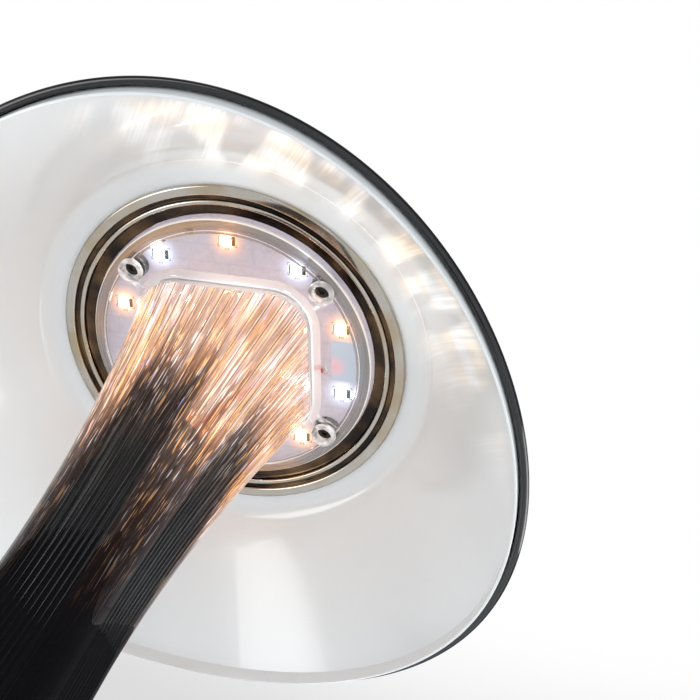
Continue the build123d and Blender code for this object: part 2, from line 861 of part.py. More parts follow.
# Wires: straight runs joined by tangent arcs
def corner_radii(points):
    """Radius of each arc: 0.45 of the shorter run over the tangent of half the turn."""
    radii = []
    for before, here, after in zip(points, points[1:], points[2:]):
        first = Vector(*here) - Vector(*before)
        second = Vector(*after) - Vector(*here)
        half_turn = math.radians(first.get_angle(second)) / 2
        radii.append(0.45 * min(first.length, second.length) / math.tan(half_turn))
    return radii


def start_plane(line):
    """Plane across a line at its start."""
    return Plane(origin=line @ 0, z_dir=line % 0)


def report_wire(name, points, path, wire):
    """Print a wire's arc radii, and its volume over its section times its length."""
    radii = [round(radius, 1) for radius in corner_radii(points)]
    length = path.wires()[0].length
    share = wire.part.volume / (length * math.pi * wire_radius**2)
    print(name, "arc radii", radii, "volume share", round(share, 4))


def lead_points(sign):
    """Route from the contact board up through the hollow stem to a pad under the board."""
    pad_height = board_bottom - wire_radius
    rise = pad_height - contact_top
    pad_side = stem_top_half + lead_out
    lean = pad_side - wire_side
    return [
        (sign * wire_side, wire_front, contact_top),
        (sign * wire_side, wire_front, contact_top + 0.24 * rise),
        (sign * (wire_side + 0.23 * lean), wire_front + 0.15 * lead_shift, contact_top + 0.52 * rise),
        (sign * (wire_side + 0.58 * lean), wire_front + 0.36 * lead_shift, pad_height - 0.22 * rise),
        (sign * (pad_side - lead_run), wire_front + 0.6 * lead_shift, pad_height - lead_rise),
        (sign * pad_side, wire_front + lead_shift, pad_height),
    ]


def charge_points(sign):
    """Route from the charging board through the slot and up inside the support."""
    start = charge_top + wire_radius
    rise = cell_board_bottom - start
    return [
        (sign * charge_side, charge_inner + charge_lap, start),
        (sign * 0.9 * charge_side, 0.8 * charge_inner, start + 0.4),
        (sign * 0.65 * charge_side, tube_radius, start + 2.8),
        (sign * 0.55 * charge_side, 0.4 * tube_radius, start + 11.6),
        (sign * 0.5 * charge_side, 0.25 * tube_radius, start + 0.22 * rise),
        (sign * 0.65 * charge_side, 0.2 * tube_radius, start + 0.48 * rise),
        (sign * 0.5 * charge_side, 0.25 * tube_radius, start + 0.75 * rise),
        (sign * 0.6 * charge_side, 0.22 * tube_radius, cell_board_bottom),
    ]


with BuildPart() as red_wire:
    red_wire_route = lead_points(1)
    with BuildLine() as red_wire_path:
        FilletPolyline(*red_wire_route, radius=corner_radii(red_wire_route))
    with BuildSketch(start_plane(red_wire_path.line)):
        Circle(wire_radius)
    sweep()
report_wire("red_wire", red_wire_route, red_wire_path, red_wire)
red_wire.part.label = "red_wire"
export_step(red_wire.part, "parts/red_wire.step")

with BuildPart() as black_wire:
    black_wire_route = lead_points(-1)
    with BuildLine() as black_wire_path:
        FilletPolyline(*black_wire_route, radius=corner_radii(black_wire_route))
    with BuildSketch(start_plane(black_wire_path.line)):
        Circle(wire_radius)
    sweep()
report_wire("black_wire", black_wire_route, black_wire_path, black_wire)
black_wire.part.label = "black_wire"
export_step(black_wire.part, "parts/black_wire.step")

with BuildPart() as charge_lead_red:
    charge_lead_red_route = charge_points(1)
    with BuildLine() as charge_lead_red_path:
        FilletPolyline(*charge_lead_red_route, radius=corner_radii(charge_lead_red_route))
    with BuildSketch(start_plane(charge_lead_red_path.line)):
        Circle(wire_radius)
    sweep()
report_wire("charge_lead_red", charge_lead_red_route, charge_lead_red_path, charge_lead_red)
charge_lead_red.part.label = "charge_lead_red"
export_step(charge_lead_red.part, "parts/charge_lead_red.step")

with BuildPart() as charge_lead_black:
    charge_lead_black_route = charge_points(-1)
    with BuildLine() as charge_lead_black_path:
        FilletPolyline(*charge_lead_black_route, radius=corner_radii(charge_lead_black_route))
    with BuildSketch(start_plane(charge_lead_black_path.line)):
        Circle(wire_radius)
    sweep()
report_wire("charge_lead_black", charge_lead_black_route, charge_lead_black_path, charge_lead_black)
charge_lead_black.part.label = "charge_lead_black"
export_step(charge_lead_black.part, "parts/charge_lead_black.step")

# Foot: a round housing with a cover below, a steel weight between them and a rubber ring to stand on
with BuildPart() as base_housing:
    with BuildSketch(Plane.XY.offset(foot_lift)):
        Circle(foot_radius)
    extrude(amount=foot_top - foot_lift)
    fillet(base_housing.faces().sort_by(Axis.Z)[-1].edges(), foot_round)
    fillet(base_housing.faces().sort_by(Axis.Z)[0].edges(), foot_wall / 4)
    with BuildSketch(Plane.XY.offset(foot_lift)):
        Circle(housing_inner)
    extrude(amount=roof_bottom - foot_lift, mode=Mode.SUBTRACT)
    with BuildSketch(Plane.XY.offset(cover_top)):
        with PolarLocations(post_circle, 4, 45):
            Circle(post_wall_radius)
            Circle(cover_shank + thread, mode=Mode.SUBTRACT)
    extrude(amount=roof_bottom - cover_top)
    with BuildSketch(Plane.XY.offset(roof_bottom)):
        with PolarLocations(stem_screw_circle, 4):
            Circle(shank_radius + thread)
    extrude(amount=stem_screw_bite + slip, mode=Mode.SUBTRACT)
    with BuildSketch(Plane.XY.offset(roof_bottom)):
        mouth_half = half_width(roof_bottom) + seat
        RectangleRounded(2 * mouth_half, 2 * mouth_half * stem_ratio + seat, mouth_half * corner_share)
    extrude(amount=foot_roof, mode=Mode.SUBTRACT)
    with BuildSketch(Plane.XZ.offset(-housing_inner + foot_wall)):
        with Locations((0, port_middle)):
            SlotOverall(port_width + 2 * seat, port_height + 2 * seat)
        with Locations((light_place, charge_top + light_radius)):
            Circle(light_radius + slip)
    extrude(amount=-2 * foot_wall, mode=Mode.SUBTRACT)
base_housing.part.label = "base_housing"
export_step(base_housing.part, "parts/base_housing.step")

with BuildPart() as base_cover:
    with BuildSketch(Plane.XY.offset(cover_bottom)):
        Circle(housing_inner - seat)
    extrude(amount=cover_wall)
    with BuildSketch(Plane.XY.offset(cover_bottom)):
        Circle(rubber_outer + slip)
        Circle(rubber_inner - slip, mode=Mode.SUBTRACT)
    extrude(amount=groove_sink, mode=Mode.SUBTRACT)
    with BuildSketch(Plane.XY.offset(groove_top)):
        with PolarLocations(post_circle, 4, 45):
            Circle(cover_head + slip)
    extrude(amount=cover_head_height, mode=Mode.SUBTRACT)
    with BuildSketch(Plane.XY.offset(groove_top)):
        with PolarLocations(post_circle, 4, 45):
            Circle(cover_shank + seat)
    extrude(amount=cover_wall, mode=Mode.SUBTRACT)
    with BuildSketch(Plane.XY.offset(cover_top)):
        Circle(tube_bore - slip)
    extrude(amount=spigot_height)
    with BuildSketch(Plane.XY.offset(cover_top)):
        with Locations((standoff_place, standoff_row), (-standoff_place, standoff_row)):
            Circle(standoff_radius)
    extrude(amount=charge_rise)
base_cover.part.label = "base_cover"
export_step(base_cover.part, "parts/base_cover.step")

with BuildPart() as foot_ring:
    with BuildSketch(Plane.XY):
        Circle(rubber_outer)
        Circle(rubber_inner, mode=Mode.SUBTRACT)
    extrude(amount=groove_top)
    fillet(foot_ring.faces().sort_by(Axis.Z)[0].edges(), groove_sink / 3)
foot_ring.part.label = "foot_ring"
export_step(foot_ring.part, "parts/foot_ring.step")

with BuildPart() as base_weight:
    with BuildSketch(Plane.XY.offset(cover_top)):
        Circle(weight_outer)
        Circle(weight_inner, mode=Mode.SUBTRACT)
        with Locations((0, weight_outer)):
            Rectangle(weight_slot, 2 * weight_outer, mode=Mode.SUBTRACT)
    extrude(amount=weight_height)
base_weight.part.label = "base_weight"
export_step(base_weight.part, "parts/base_weight.step")

# Charging socket at the back, on its own board
with BuildPart() as charge_board:
    with BuildSketch(Plane.XY.offset(board_seat)):
        with Locations((0, charge_inner + charge_length / 2)):
            Rectangle(charge_width, charge_length)
    extrude(amount=charge_wall)
charge_board.part.label = "charge_board"
export_step(charge_board.part, "parts/charge_board.step")

with BuildPart() as usb_socket:
    with BuildSketch(Plane.XZ.offset(-port_back)):
        with Locations((0, port_middle)):
            SlotOverall(port_width, port_height)
            SlotOverall(port_width - 2 * port_wall, port_height - 2 * port_wall, mode=Mode.SUBTRACT)
    extrude(amount=-port_length)
usb_socket.part.label = "usb_socket"
export_step(usb_socket.part, "parts/usb_socket.step")

with BuildPart() as usb_tongue:
    root_trim = port_wall + slip
    with BuildSketch(Plane.XZ.offset(-port_back)):
        with Locations((0, port_middle)):
            SlotOverall(port_width - 2 * root_trim, port_height - 2 * root_trim)
    extrude(amount=-tongue_root)
    with BuildSketch(Plane.XZ.offset(-port_back - tongue_root)):
        with Locations((0, port_middle)):
            Rectangle(tongue_width, tongue_wall)
    extrude(amount=-tongue_length)
usb_tongue.part.label = "usb_tongue"
export_step(usb_tongue.part, "parts/usb_tongue.step")

with BuildPart() as charge_light:
    with BuildSketch(Plane.XZ.offset(-port_back)):
        with Locations((light_place, charge_top + light_radius)):
            Circle(light_radius)
    extrude(amount=-(port_length - port_sink))
charge_light.part.label = "charge_light"
export_step(charge_light.part, "parts/charge_light.step")
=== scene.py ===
"""Cordless reading lamp: the visual model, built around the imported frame.

Sizes are millimetres unless a name says otherwise. Meshes are made in metres, in the frame of the CAD.
"""

from __future__ import annotations

import logging
import math
from dataclasses import dataclass
from enum import Enum
from typing import Iterator, Sequence

import bmesh
import bpy
import numpy as np
from mathutils import Matrix, Vector

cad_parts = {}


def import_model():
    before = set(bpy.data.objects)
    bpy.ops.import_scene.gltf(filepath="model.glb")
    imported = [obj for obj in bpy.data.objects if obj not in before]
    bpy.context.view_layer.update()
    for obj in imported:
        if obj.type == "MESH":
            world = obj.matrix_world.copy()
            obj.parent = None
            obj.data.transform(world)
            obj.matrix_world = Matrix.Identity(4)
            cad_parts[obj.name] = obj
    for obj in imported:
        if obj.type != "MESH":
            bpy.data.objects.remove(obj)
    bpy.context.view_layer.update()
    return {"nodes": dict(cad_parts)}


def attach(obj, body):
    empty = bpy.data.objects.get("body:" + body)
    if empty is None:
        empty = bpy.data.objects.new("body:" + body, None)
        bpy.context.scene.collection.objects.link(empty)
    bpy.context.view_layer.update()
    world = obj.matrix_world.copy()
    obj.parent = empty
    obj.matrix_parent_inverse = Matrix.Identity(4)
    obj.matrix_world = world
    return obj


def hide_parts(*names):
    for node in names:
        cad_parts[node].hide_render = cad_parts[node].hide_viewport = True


MM = 0.001
ACRYLIC_IOR = 1.49
SMOOTH_UP_TO = math.radians(32)
Object = bpy.types.Object
Mesh = bpy.types.Mesh
Material = bpy.types.Material
Tree = bpy.types.NodeTree
Node = bpy.types.Node
Socket = bpy.types.NodeSocket
Colour = tuple[float, float, float]
Point = tuple[float, float]
FlutePlace = tuple[Socket, Socket, Socket]
Feeds = dict[str, object]

log = logging.getLogger("lamp")


# Shapes


def rounded(corners: Sequence[tuple[float, float, float]], steps: int = 5) -> list[Point]:
    """Round the corners of a closed profile.

    Args:
        corners: radius, height and rounding of each corner, in order.
        steps: runs in each rounded corner.

    Returns:
        The profile's points.
    """
    points: list[Point] = []
    for index, (radius, height, rounding) in enumerate(corners):
        if rounding <= 0:
            points.append((radius, height))
            continue
        here = np.array([radius, height])
        before = np.array(corners[index - 1][:2]) - here
        after = np.array(corners[(index + 1) % len(corners)][:2]) - here
        run_before, run_after = np.linalg.norm(before), np.linalg.norm(after)
        before, after = before / run_before, after / run_after
        half = math.acos(float(np.clip(before @ after, -1, 1))) / 2
        reach = min(rounding / math.tan(half), 0.49 * run_before, 0.49 * run_after)
        bow = reach * math.tan(half)
        middle = here + (before + after) / np.linalg.norm(before + after) * bow / math.sin(half)
        start, end = here + before * reach - middle, here + after * reach - middle
        turn = math.acos(float(np.clip(start @ end / (bow * bow), -1, 1)))
        for step in range(steps + 1):
            share = step / steps
            mixed = (math.sin((1 - share) * turn) * start + math.sin(share * turn) * end) / math.sin(turn)
            points.append(tuple(middle + mixed))
    return points


def arc(middle: Point, radius: float, first: float, last: float, steps: int) -> list[Point]:
    """Points of an arc, where an angle of zero points up and turns outward."""
    angles = np.linspace(first, last, steps + 1)
    return [(middle[0] + radius * math.sin(a), middle[1] + radius * math.cos(a)) for a in angles]


def in_scene(name: str, data: object) -> Object:
    """Make an object for a mesh, a light or a camera, and put it in the scene.

    Args:
        name: the object's name.
        data: its mesh, light or camera.

    Returns:
        The new object.
    """
    made = bpy.data.objects.new(name, data)
    bpy.context.scene.collection.objects.link(made)
    return made


def meshed(name: str, work: bmesh.types.BMesh) -> Mesh:
    """Turn worked geometry into a mesh, and free the work.

    Args:
        name: the mesh's name.
        work: the geometry, freed afterwards.

    Returns:
        The new mesh.
    """
    mesh = bpy.data.meshes.new(name)
    work.to_mesh(mesh)
    work.free()
    return mesh


def finished(mesh: Mesh, name: str) -> Object:
    """Merge doubles, point the faces outwards, shade smoothly and put the mesh in the scene.

    Args:
        mesh: the raw mesh.
        name: the object's name.

    Returns:
        The new object.
    """
    work = bmesh.new()
    work.from_mesh(mesh)
    bmesh.ops.remove_doubles(work, verts=work.verts, dist=1e-6)
    bmesh.ops.recalc_face_normals(work, faces=work.faces)
    work.to_mesh(mesh)
    work.free()
    mesh.shade_smooth()
    mesh.set_sharp_from_angle(angle=SMOOTH_UP_TO)
    return in_scene(name, mesh)


def woven(name: str, rows: np.ndarray, wrap: bool, caps: bool = False) -> Object:
    """Make a mesh from closed rows of points.

    Args:
        name: the object's name.
        rows: points as row, place in the row, and x, y, z.
        wrap: join the last row to the first.
        caps: close both ends with a flat face.

    Returns:
        The new object.
    """
    count, around = rows.shape[:2]
    faces = []
    for row in range(count if wrap else count - 1):
        here, above = row * around, (row + 1) % count * around
        for place in range(around):
            beside = (place + 1) % around
            faces.append((here + place, here + beside, above + beside, above + place))
    if caps:
        faces.append(tuple(range(around)))
        faces.append(tuple(reversed(range((count - 1) * around, count * around))))
    mesh = bpy.data.meshes.new(name)
    mesh.from_pydata((rows.reshape(-1, 3) * MM).tolist(), [], faces)
    return finished(mesh, name)


def lathe(name: str, profile: Sequence[Point], segments: int = 192, at: Point = (0.0, 0.0)) -> Object:
    """Turn a profile of radius and height about an upright axis.

    Args:
        name: the object's name.
        profile: a closed outline, or a line that starts and ends on the axis.
        segments: faces around the axis.
        at: where the axis stands.

    Returns:
        The new object.
    """
    outline = np.array(profile, float)
    turns = np.linspace(0, 2 * math.pi, segments, endpoint=False)
    rows = np.empty((len(outline), segments, 3))
    rows[:, :, 0] = at[0] + outline[:, :1] * np.cos(turns)
    rows[:, :, 1] = at[1] + outline[:, :1] * np.sin(turns)
    rows[:, :, 2] = outline[:, 1:]
    on_axis = outline[0, 0] < 1e-6 and outline[-1, 0] < 1e-6
    return woven(name, rows, wrap=not on_axis)


def block(
    name: str, size: tuple[float, float, float], middle: tuple[float, float, float], bevel: float
) -> Object:
    """Make a box with rounded edges.

    Args:
        name: the object's name.
        size: its size along each axis.
        middle: where its middle is.
        bevel: rounding of its edges.

    Returns:
        The new object.
    """
    work = bmesh.new()
    bmesh.ops.create_cube(work, size=1.0)
    bmesh.ops.scale(work, vec=Vector(size) * MM, verts=work.verts)
    bmesh.ops.translate(work, vec=Vector(middle) * MM, verts=work.verts)
    bmesh.ops.bevel(work, geom=work.edges[:], offset=bevel * MM, segments=3, profile=0.5, affect="EDGES")
    return finished(meshed(name, work), name)


def settled(piece: Object) -> Object:
    """Replace a piece's live modifiers by their result.

    Args:
        piece: an object with modifiers.

    Returns:
        The same object, with a plain mesh.
    """
    bpy.context.view_layer.update()
    graph = bpy.context.evaluated_depsgraph_get()
    mesh = bpy.data.meshes.new_from_object(piece.evaluated_get(graph))
    old = piece.data
    piece.modifiers.clear()
    piece.data = mesh
    bpy.data.meshes.remove(old)
    mesh.name = piece.name
    return piece


def joined(name: str, parts: Sequence[Object]) -> Object:
    """Join several objects into one mesh, without merging their shapes.

    Args:
        name: the object's name.
        parts: the objects, which are removed.

    Returns:
        The new object.
    """
    work = bmesh.new()
    for part in parts:
        work.from_mesh(part.data)
    for part in parts:
        discard(part)
    return in_scene(name, meshed(name, work))


def discard(part: Object) -> None:
    """Remove a helper object and its mesh.

    Args:
        part: the object.
    """
    mesh = part.data
    bpy.data.objects.remove(part)
    bpy.data.meshes.remove(mesh)


class Cut(Enum):
    """How one solid works on another."""

    ADD = "UNION"
    TAKE = "DIFFERENCE"


def carve(body: Object, tool: Object, cut: Cut) -> None:
    """Add a tool's solid to a body or take it away, and remove the tool.

    Args:
        body: the solid that is worked on.
        tool: the other solid.
        cut: whether it is added or taken away.
    """
    modifier = body.modifiers.new("carve", "BOOLEAN")
    modifier.operation = cut.value
    modifier.solver = "MANIFOLD"
    modifier.object = tool
    settled(body)
    discard(tool)


def handed_over(
    piece: Object, finishes: Sequence[Finish], body: str = "lamp", stands_for: Sequence[str] = ()
) -> Object:
    """Dress a new piece and tie it to its CAD body.

    Args:
        piece: the finished mesh object.
        finishes: one finish for each of its material slots.
        body: the CAD body that it rides on.
        stands_for: the CAD nodes that it replaces.

    Returns:
        The same piece.
    """
    for index, finish in enumerate(finishes):
        if index < len(piece.data.materials):
            piece.data.materials[index] = finish.material()
        else:
            piece.data.materials.append(finish.material())
    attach(piece, body)
    if stands_for:
        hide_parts(*stands_for)
    log.info("%s: %d faces, %s", piece.name, len(piece.data.polygons), finishes[0].name)
    return piece


# Node wiring


class Wiring:
    """Adds nodes to one tree and joins their sockets."""

    def __init__(self, tree: Tree) -> None:
        """Keep the tree that the nodes go into."""
        self.tree = tree

    def feed(self, socket: Socket, value: object) -> None:
        """Link another node's output to a socket, or set its value.

        Args:
            socket: the input.
            value: an output, or a plain value.
        """
        if isinstance(value, Socket):
            self.tree.links.new(value, socket)
        else:
            socket.default_value = value

    def add(self, kind: str, feeds: dict | None = None, **settings: object) -> Node:
        """Add a node, with settings by name and feeds by socket name or number.

        Args:
            kind: the node's type.
            feeds: values or outputs for its inputs, by name or number.
            settings: its settings by name.

        Returns:
            The new node.
        """
        node = self.tree.nodes.new(kind)
        for name, value in settings.items():
            setattr(node, name, value)
        for key, value in (feeds or {}).items():
            self.feed(node.inputs[key], value)
        return node

    def math(self, operation: str, *values: object, clamp: bool = False) -> Socket:
        """Add a Math node. Returns its output."""
        feeds = dict(enumerate(values))
        return self.add("ShaderNodeMath", feeds, operation=operation, use_clamp=clamp).outputs[0]

    def plus(self, first: object, second: object, clamp: bool = False) -> Socket:
        """The sum of two numbers, kept between 0 and 1 where that is asked for."""
        return self.math("ADD", first, second, clamp=clamp)

    def minus(self, first: object, second: object) -> Socket:
        """The first number less the second."""
        return self.math("SUBTRACT", first, second)

    def times(self, first: object, second: object) -> Socket:
        """The product of two numbers."""
        return self.math("MULTIPLY", first, second)

    def over(self, first: object, second: object) -> Socket:
        """The first number divided by the second."""
        return self.math("DIVIDE", first, second)

    def distance(self, x: Socket, y: Socket) -> Socket:
        """Length of the line that goes x one way and y square to it."""
        return self.math("SQRT", self.plus(self.math("POWER", x, 2.0), self.math("POWER", y, 2.0)))

    def place(self) -> Socket:
        """Object coordinates, in metres."""
        return self.add("ShaderNodeTexCoord").outputs["Object"]

    def apart(self, vector: Socket) -> tuple[Socket, Socket, Socket]:
        """The three parts of a vector."""
        parts = self.add("ShaderNodeSeparateXYZ", {0: vector}).outputs
        return parts[0], parts[1], parts[2]

    def together(self, x: object, y: object, z: object) -> Socket:
        """A vector from three numbers."""
        return self.add("ShaderNodeCombineXYZ", {0: x, 1: y, 2: z}).outputs[0]

    def noise(self, scale: float, vector: Socket | None = None, detail: float = 3.0) -> Socket:
        """Noise between 0 and 1, by features per metre on Object coordinates."""
        feeds = {"Vector": vector or self.place(), "Scale": scale, "Detail": detail}
        return self.add("ShaderNodeTexNoise", feeds).outputs[0]

    def ramp(self, value: Socket, low: float, high: float, first: float = 0.0, last: float = 1.0) -> Socket:
        """Map a value between two limits to another range, smoothly and clamped."""
        feeds = {"Value": value, "From Min": low, "From Max": high, "To Min": first, "To Max": last}
        return self.add("ShaderNodeMapRange", feeds, interpolation_type="SMOOTHSTEP").outputs[0]

    def mixed(self, share: object, first: object, second: object) -> Socket:
        """Mix two colours.

        Args:
            share: share of the second colour.
            first: one colour.
            second: the other colour.

        Returns:
            The mixed colour.
        """
        node = self.add("ShaderNodeMix", data_type="RGBA")
        self.feed(node.inputs[0], share)
        self.feed(node.inputs[6], opaque(first))
        self.feed(node.inputs[7], opaque(second))
        return node.outputs[2]

    def varied(self, noise: Socket, low: float, high: float) -> Socket:
        """A number that wanders with a noise between two limits."""
        return self.ramp(noise, 0.3, 0.7, low, high)

    def clouded(self, scale: float, colour: Colour, low: float, high: float) -> Socket:
        """A colour that wanders between a darker and a lighter shade of itself."""
        return self.mixed(self.noise(scale), shaded(colour, low), shaded(colour, high))

    def bump(self, height: Socket, strength: float, distance: float) -> Socket:
        """A bumped normal, with its distance in metres."""
        feeds = {"Height": height, "Strength": strength, "Distance": distance}
        return self.add("ShaderNodeBump", feeds).outputs[0]


def opaque(colour: object) -> object:
    """Give a plain colour its fourth number."""
    return (*colour, 1.0) if isinstance(colour, tuple) and len(colour) == 3 else colour


def shaded(colour: Colour, factor: float) -> Colour:
    """A colour made lighter or darker."""
    return tuple(min(1.0, part * factor) for part in colour)


# Finishes


def blank_material(name: str) -> tuple[Material, Wiring]:
    """A new material without nodes, and its wiring.

    Args:
        name: the material's name.

    Returns:
        The material and its wiring.
    """
    made = bpy.data.materials.new(name)
    made.use_nodes = True
    made.node_tree.nodes.clear()
    return made, Wiring(made.node_tree)


@dataclass(frozen=True)
class Finish:
    """A surface finish with its name and the record's slot."""

    name: str
    slot: str

    def feeds(self, wiring: Wiring) -> Feeds:
        """Values for the surface shader's inputs, by name."""
        raise NotImplementedError

    def surface(self, wiring: Wiring) -> Socket:
        """What the material shows."""
        return wiring.add("ShaderNodeBsdfPrincipled", self.feeds(wiring)).outputs[0]

    def material(self) -> Material:
        """The finish's material, made once.

        Returns:
            The material.
        """
        found = bpy.data.materials.get(self.name)
        if found:
            return found
        made, wiring = blank_material(self.name)
        wiring.add("ShaderNodeOutputMaterial", {"Surface": self.surface(wiring)})
        return made


@dataclass(frozen=True)
class Lacquer(Finish):
    """Sprayed gloss paint with a faint orange peel."""

    colour: Colour
    roughness: float
    peel: float = 0.04
    coat: float = 0.0

    def feeds(self, wiring: Wiring) -> Feeds:
        """Colour, roughness and peel.

        Args:
            wiring: the tree's wiring.

        Returns:
            Values for the shader's inputs.
        """
        return {
            "Base Color": wiring.clouded(45.0, self.colour, 0.9, 1.08),
            "Roughness": wiring.varied(wiring.noise(220.0), self.roughness * 0.8, self.roughness * 1.3),
            "Normal": wiring.bump(wiring.noise(420.0, detail=1.0), self.peel, 0.0004),
            "Coat Weight": self.coat,
            "Coat Roughness": 0.03,
        }


@dataclass(frozen=True)
class ThrownLight:
    """Painted light on the reflector: emission patches, all running one way, that stand in for the light the
    clear stem throws, with a painted bright arc and a faint painted haze.
    """

    turn_degrees: float = -55.0
    half_sweep_degrees: float = 62.0
    nearest: float = 62.0
    farthest: float = 103.0
    fade: float = 9.0
    patch_width: float = 9.0
    patch_length: float = 48.0
    line_width: float = 0.8
    arc_radius: float = 67.6
    arc_width: float = 0.5
    strength: float = 0.58
    haze: float = 0.09
    white: Colour = (1.0, 0.99, 0.96)
    warm: Colour = (1.0, 0.74, 0.46)

    def colour(self, wiring: Wiring, x: Socket, y: Socket, radius: Socket) -> Socket:
        """Colour of the painted thrown light at a point.

        Args:
            wiring: the tree's wiring.
            x: the point's X.
            y: the point's Y.
            radius: the point's distance from the axis.

        Returns:
            The colour.
        """
        turn = math.radians(self.turn_degrees)
        ahead_x, ahead_y = wiring.times(x, math.cos(turn)), wiring.times(y, math.sin(turn))
        side_x, side_y = wiring.times(x, -math.sin(turn)), wiring.times(y, math.cos(turn))
        along, across = wiring.plus(ahead_x, ahead_y), wiring.plus(side_x, side_y)
        run = wiring.over(along, self.patch_length * MM)
        wide = wiring.together(wiring.over(across, self.patch_width * MM), run, 0.0)
        fine = wiring.together(wiring.over(across, self.line_width * MM), run, 7.0)
        patches = wiring.ramp(wiring.noise(1.0, wide, 1.5), 0.40, 0.60)
        lines = wiring.ramp(wiring.noise(1.0, fine, 1.0), 0.30, 0.70, 0.55, 1.0)
        swing = wiring.math("ABSOLUTE", wiring.math("ARCTAN2", across, along))
        half_sweep = math.radians(self.half_sweep_degrees)
        window = wiring.ramp(swing, half_sweep * 0.45, half_sweep, 1.0, 0.0)
        near = wiring.ramp(radius, self.nearest * MM, (self.nearest + self.fade) * MM)
        far = wiring.ramp(radius, (self.farthest - self.fade) * MM, self.farthest * MM, 1.0, 0.0)
        # Painted highlight: a thin bright ring near the collar.
        from_arc = wiring.math("ABSOLUTE", wiring.minus(radius, self.arc_radius * MM))
        bright_arc = wiring.ramp(from_arc, 0.0, self.arc_width * MM, 0.3, 0.0)
        lit = wiring.times(wiring.times(patches, lines), self.strength)
        lit = wiring.plus(wiring.times(lit, near), bright_arc)
        lit = wiring.times(wiring.plus(lit, self.haze), wiring.times(far, window))
        warmth = wiring.ramp(wiring.noise(38.0, detail=1.0), 0.42, 0.58)
        return wiring.mixed(lit, (0.0, 0.0, 0.0), wiring.mixed(warmth, self.white, self.warm))


@dataclass(frozen=True)
class SpunEnamel(Finish):
    """White gloss enamel over a spun sheet, with fine turning lines and the painted thrown light as its
    emission.
    """

    colour: Colour
    roughness: float
    line_pitch: float
    line_depth: float
    spread: float = 0.85
    thrown: ThrownLight = ThrownLight()

    def feeds(self, wiring: Wiring) -> Feeds:
        """Colour, roughness and turning lines.

        Args:
            wiring: the tree's wiring.

        Returns:
            Values for the shader's inputs.
        """
        x, y, z = wiring.apart(wiring.place())
        radius = wiring.distance(x, y)
        waver = wiring.times(wiring.noise(18.0), self.line_pitch * MM * 2.0)
        lines = wiring.math(
            "SINE", wiring.over(wiring.plus(radius, waver), self.line_pitch * MM / math.tau)
        )
        grain = wiring.plus(wiring.times(lines, 0.5), wiring.noise(900.0, detail=1.0))
        return {
            "Base Color": wiring.clouded(24.0, self.colour, 0.985, 1.01),
            "Roughness": wiring.varied(wiring.noise(60.0), self.roughness * 0.85, self.roughness * 1.2),
            "Normal": wiring.bump(grain, self.line_depth, 0.00005),
            "Anisotropic": self.spread,
            "Tangent": wiring.together(wiring.times(y, -1.0), x, 0.0),
            "Coat Weight": 0.5,
            "Coat Roughness": 0.05,
            # Painted light: the thrown light patches are emission.
            "Emission Color": self.thrown.colour(wiring, x, y, radius),
            "Emission Strength": 1.0,
        }


class Lay(Enum):
    """The run of the fine marks in a metal's surface."""

    TURNED = "round the axis"
    DRAWN = "along Z"
    CAST = "grainy"


@dataclass(frozen=True)
class Metal(Finish):
    """Bare or plated metal with the marks of how it was made."""

    colour: Colour
    roughness: float
    lay: Lay = Lay.CAST
    marks: float = 0.05
    tarnish: Colour | None = None

    def feeds(self, wiring: Wiring) -> Feeds:
        """Colour, roughness and marks.

        Args:
            wiring: the tree's wiring.

        Returns:
            Values for the shader's inputs.
        """
        x, y, z = wiring.apart(wiring.place())
        if self.lay is Lay.TURNED:
            radius = wiring.distance(x, y)
            grain = wiring.noise(5200.0, wiring.together(radius, 0.0, z), 2.0)
        elif self.lay is Lay.DRAWN:
            grain = wiring.noise(2600.0, wiring.together(x, y, wiring.times(z, 0.02)), 2.0)
        else:
            grain = wiring.noise(1500.0, detail=4.0)
        stain = wiring.ramp(wiring.noise(70.0), 0.35, 0.75)
        second = self.tarnish or shaded(self.colour, 0.86)
        return {
            "Base Color": wiring.mixed(stain, self.colour, second),
            "Metallic": 1.0,
            "Roughness": wiring.varied(grain, self.roughness * 0.7, self.roughness * 1.4),
            "Normal": wiring.bump(grain, self.marks, 0.0001),
        }


@dataclass(frozen=True)
class Moulded(Finish):
    """Moulded plastic, rubber or wire insulation with a fine grain."""

    colour: Colour
    roughness: float
    grain: float = 0.1
    pitch: float = 0.8

    def feeds(self, wiring: Wiring) -> Feeds:
        """Colour, roughness and grain.

        Args:
            wiring: the tree's wiring.

        Returns:
            Values for the shader's inputs.
        """
        grain = wiring.noise(1000.0 / self.pitch, detail=2.0)
        return {
            "Base Color": wiring.clouded(90.0, self.colour, 0.88, 1.1),
            "Roughness": wiring.varied(grain, self.roughness * 0.9, self.roughness * 1.1),
            "Normal": wiring.bump(grain, self.grain, 0.0002),
        }


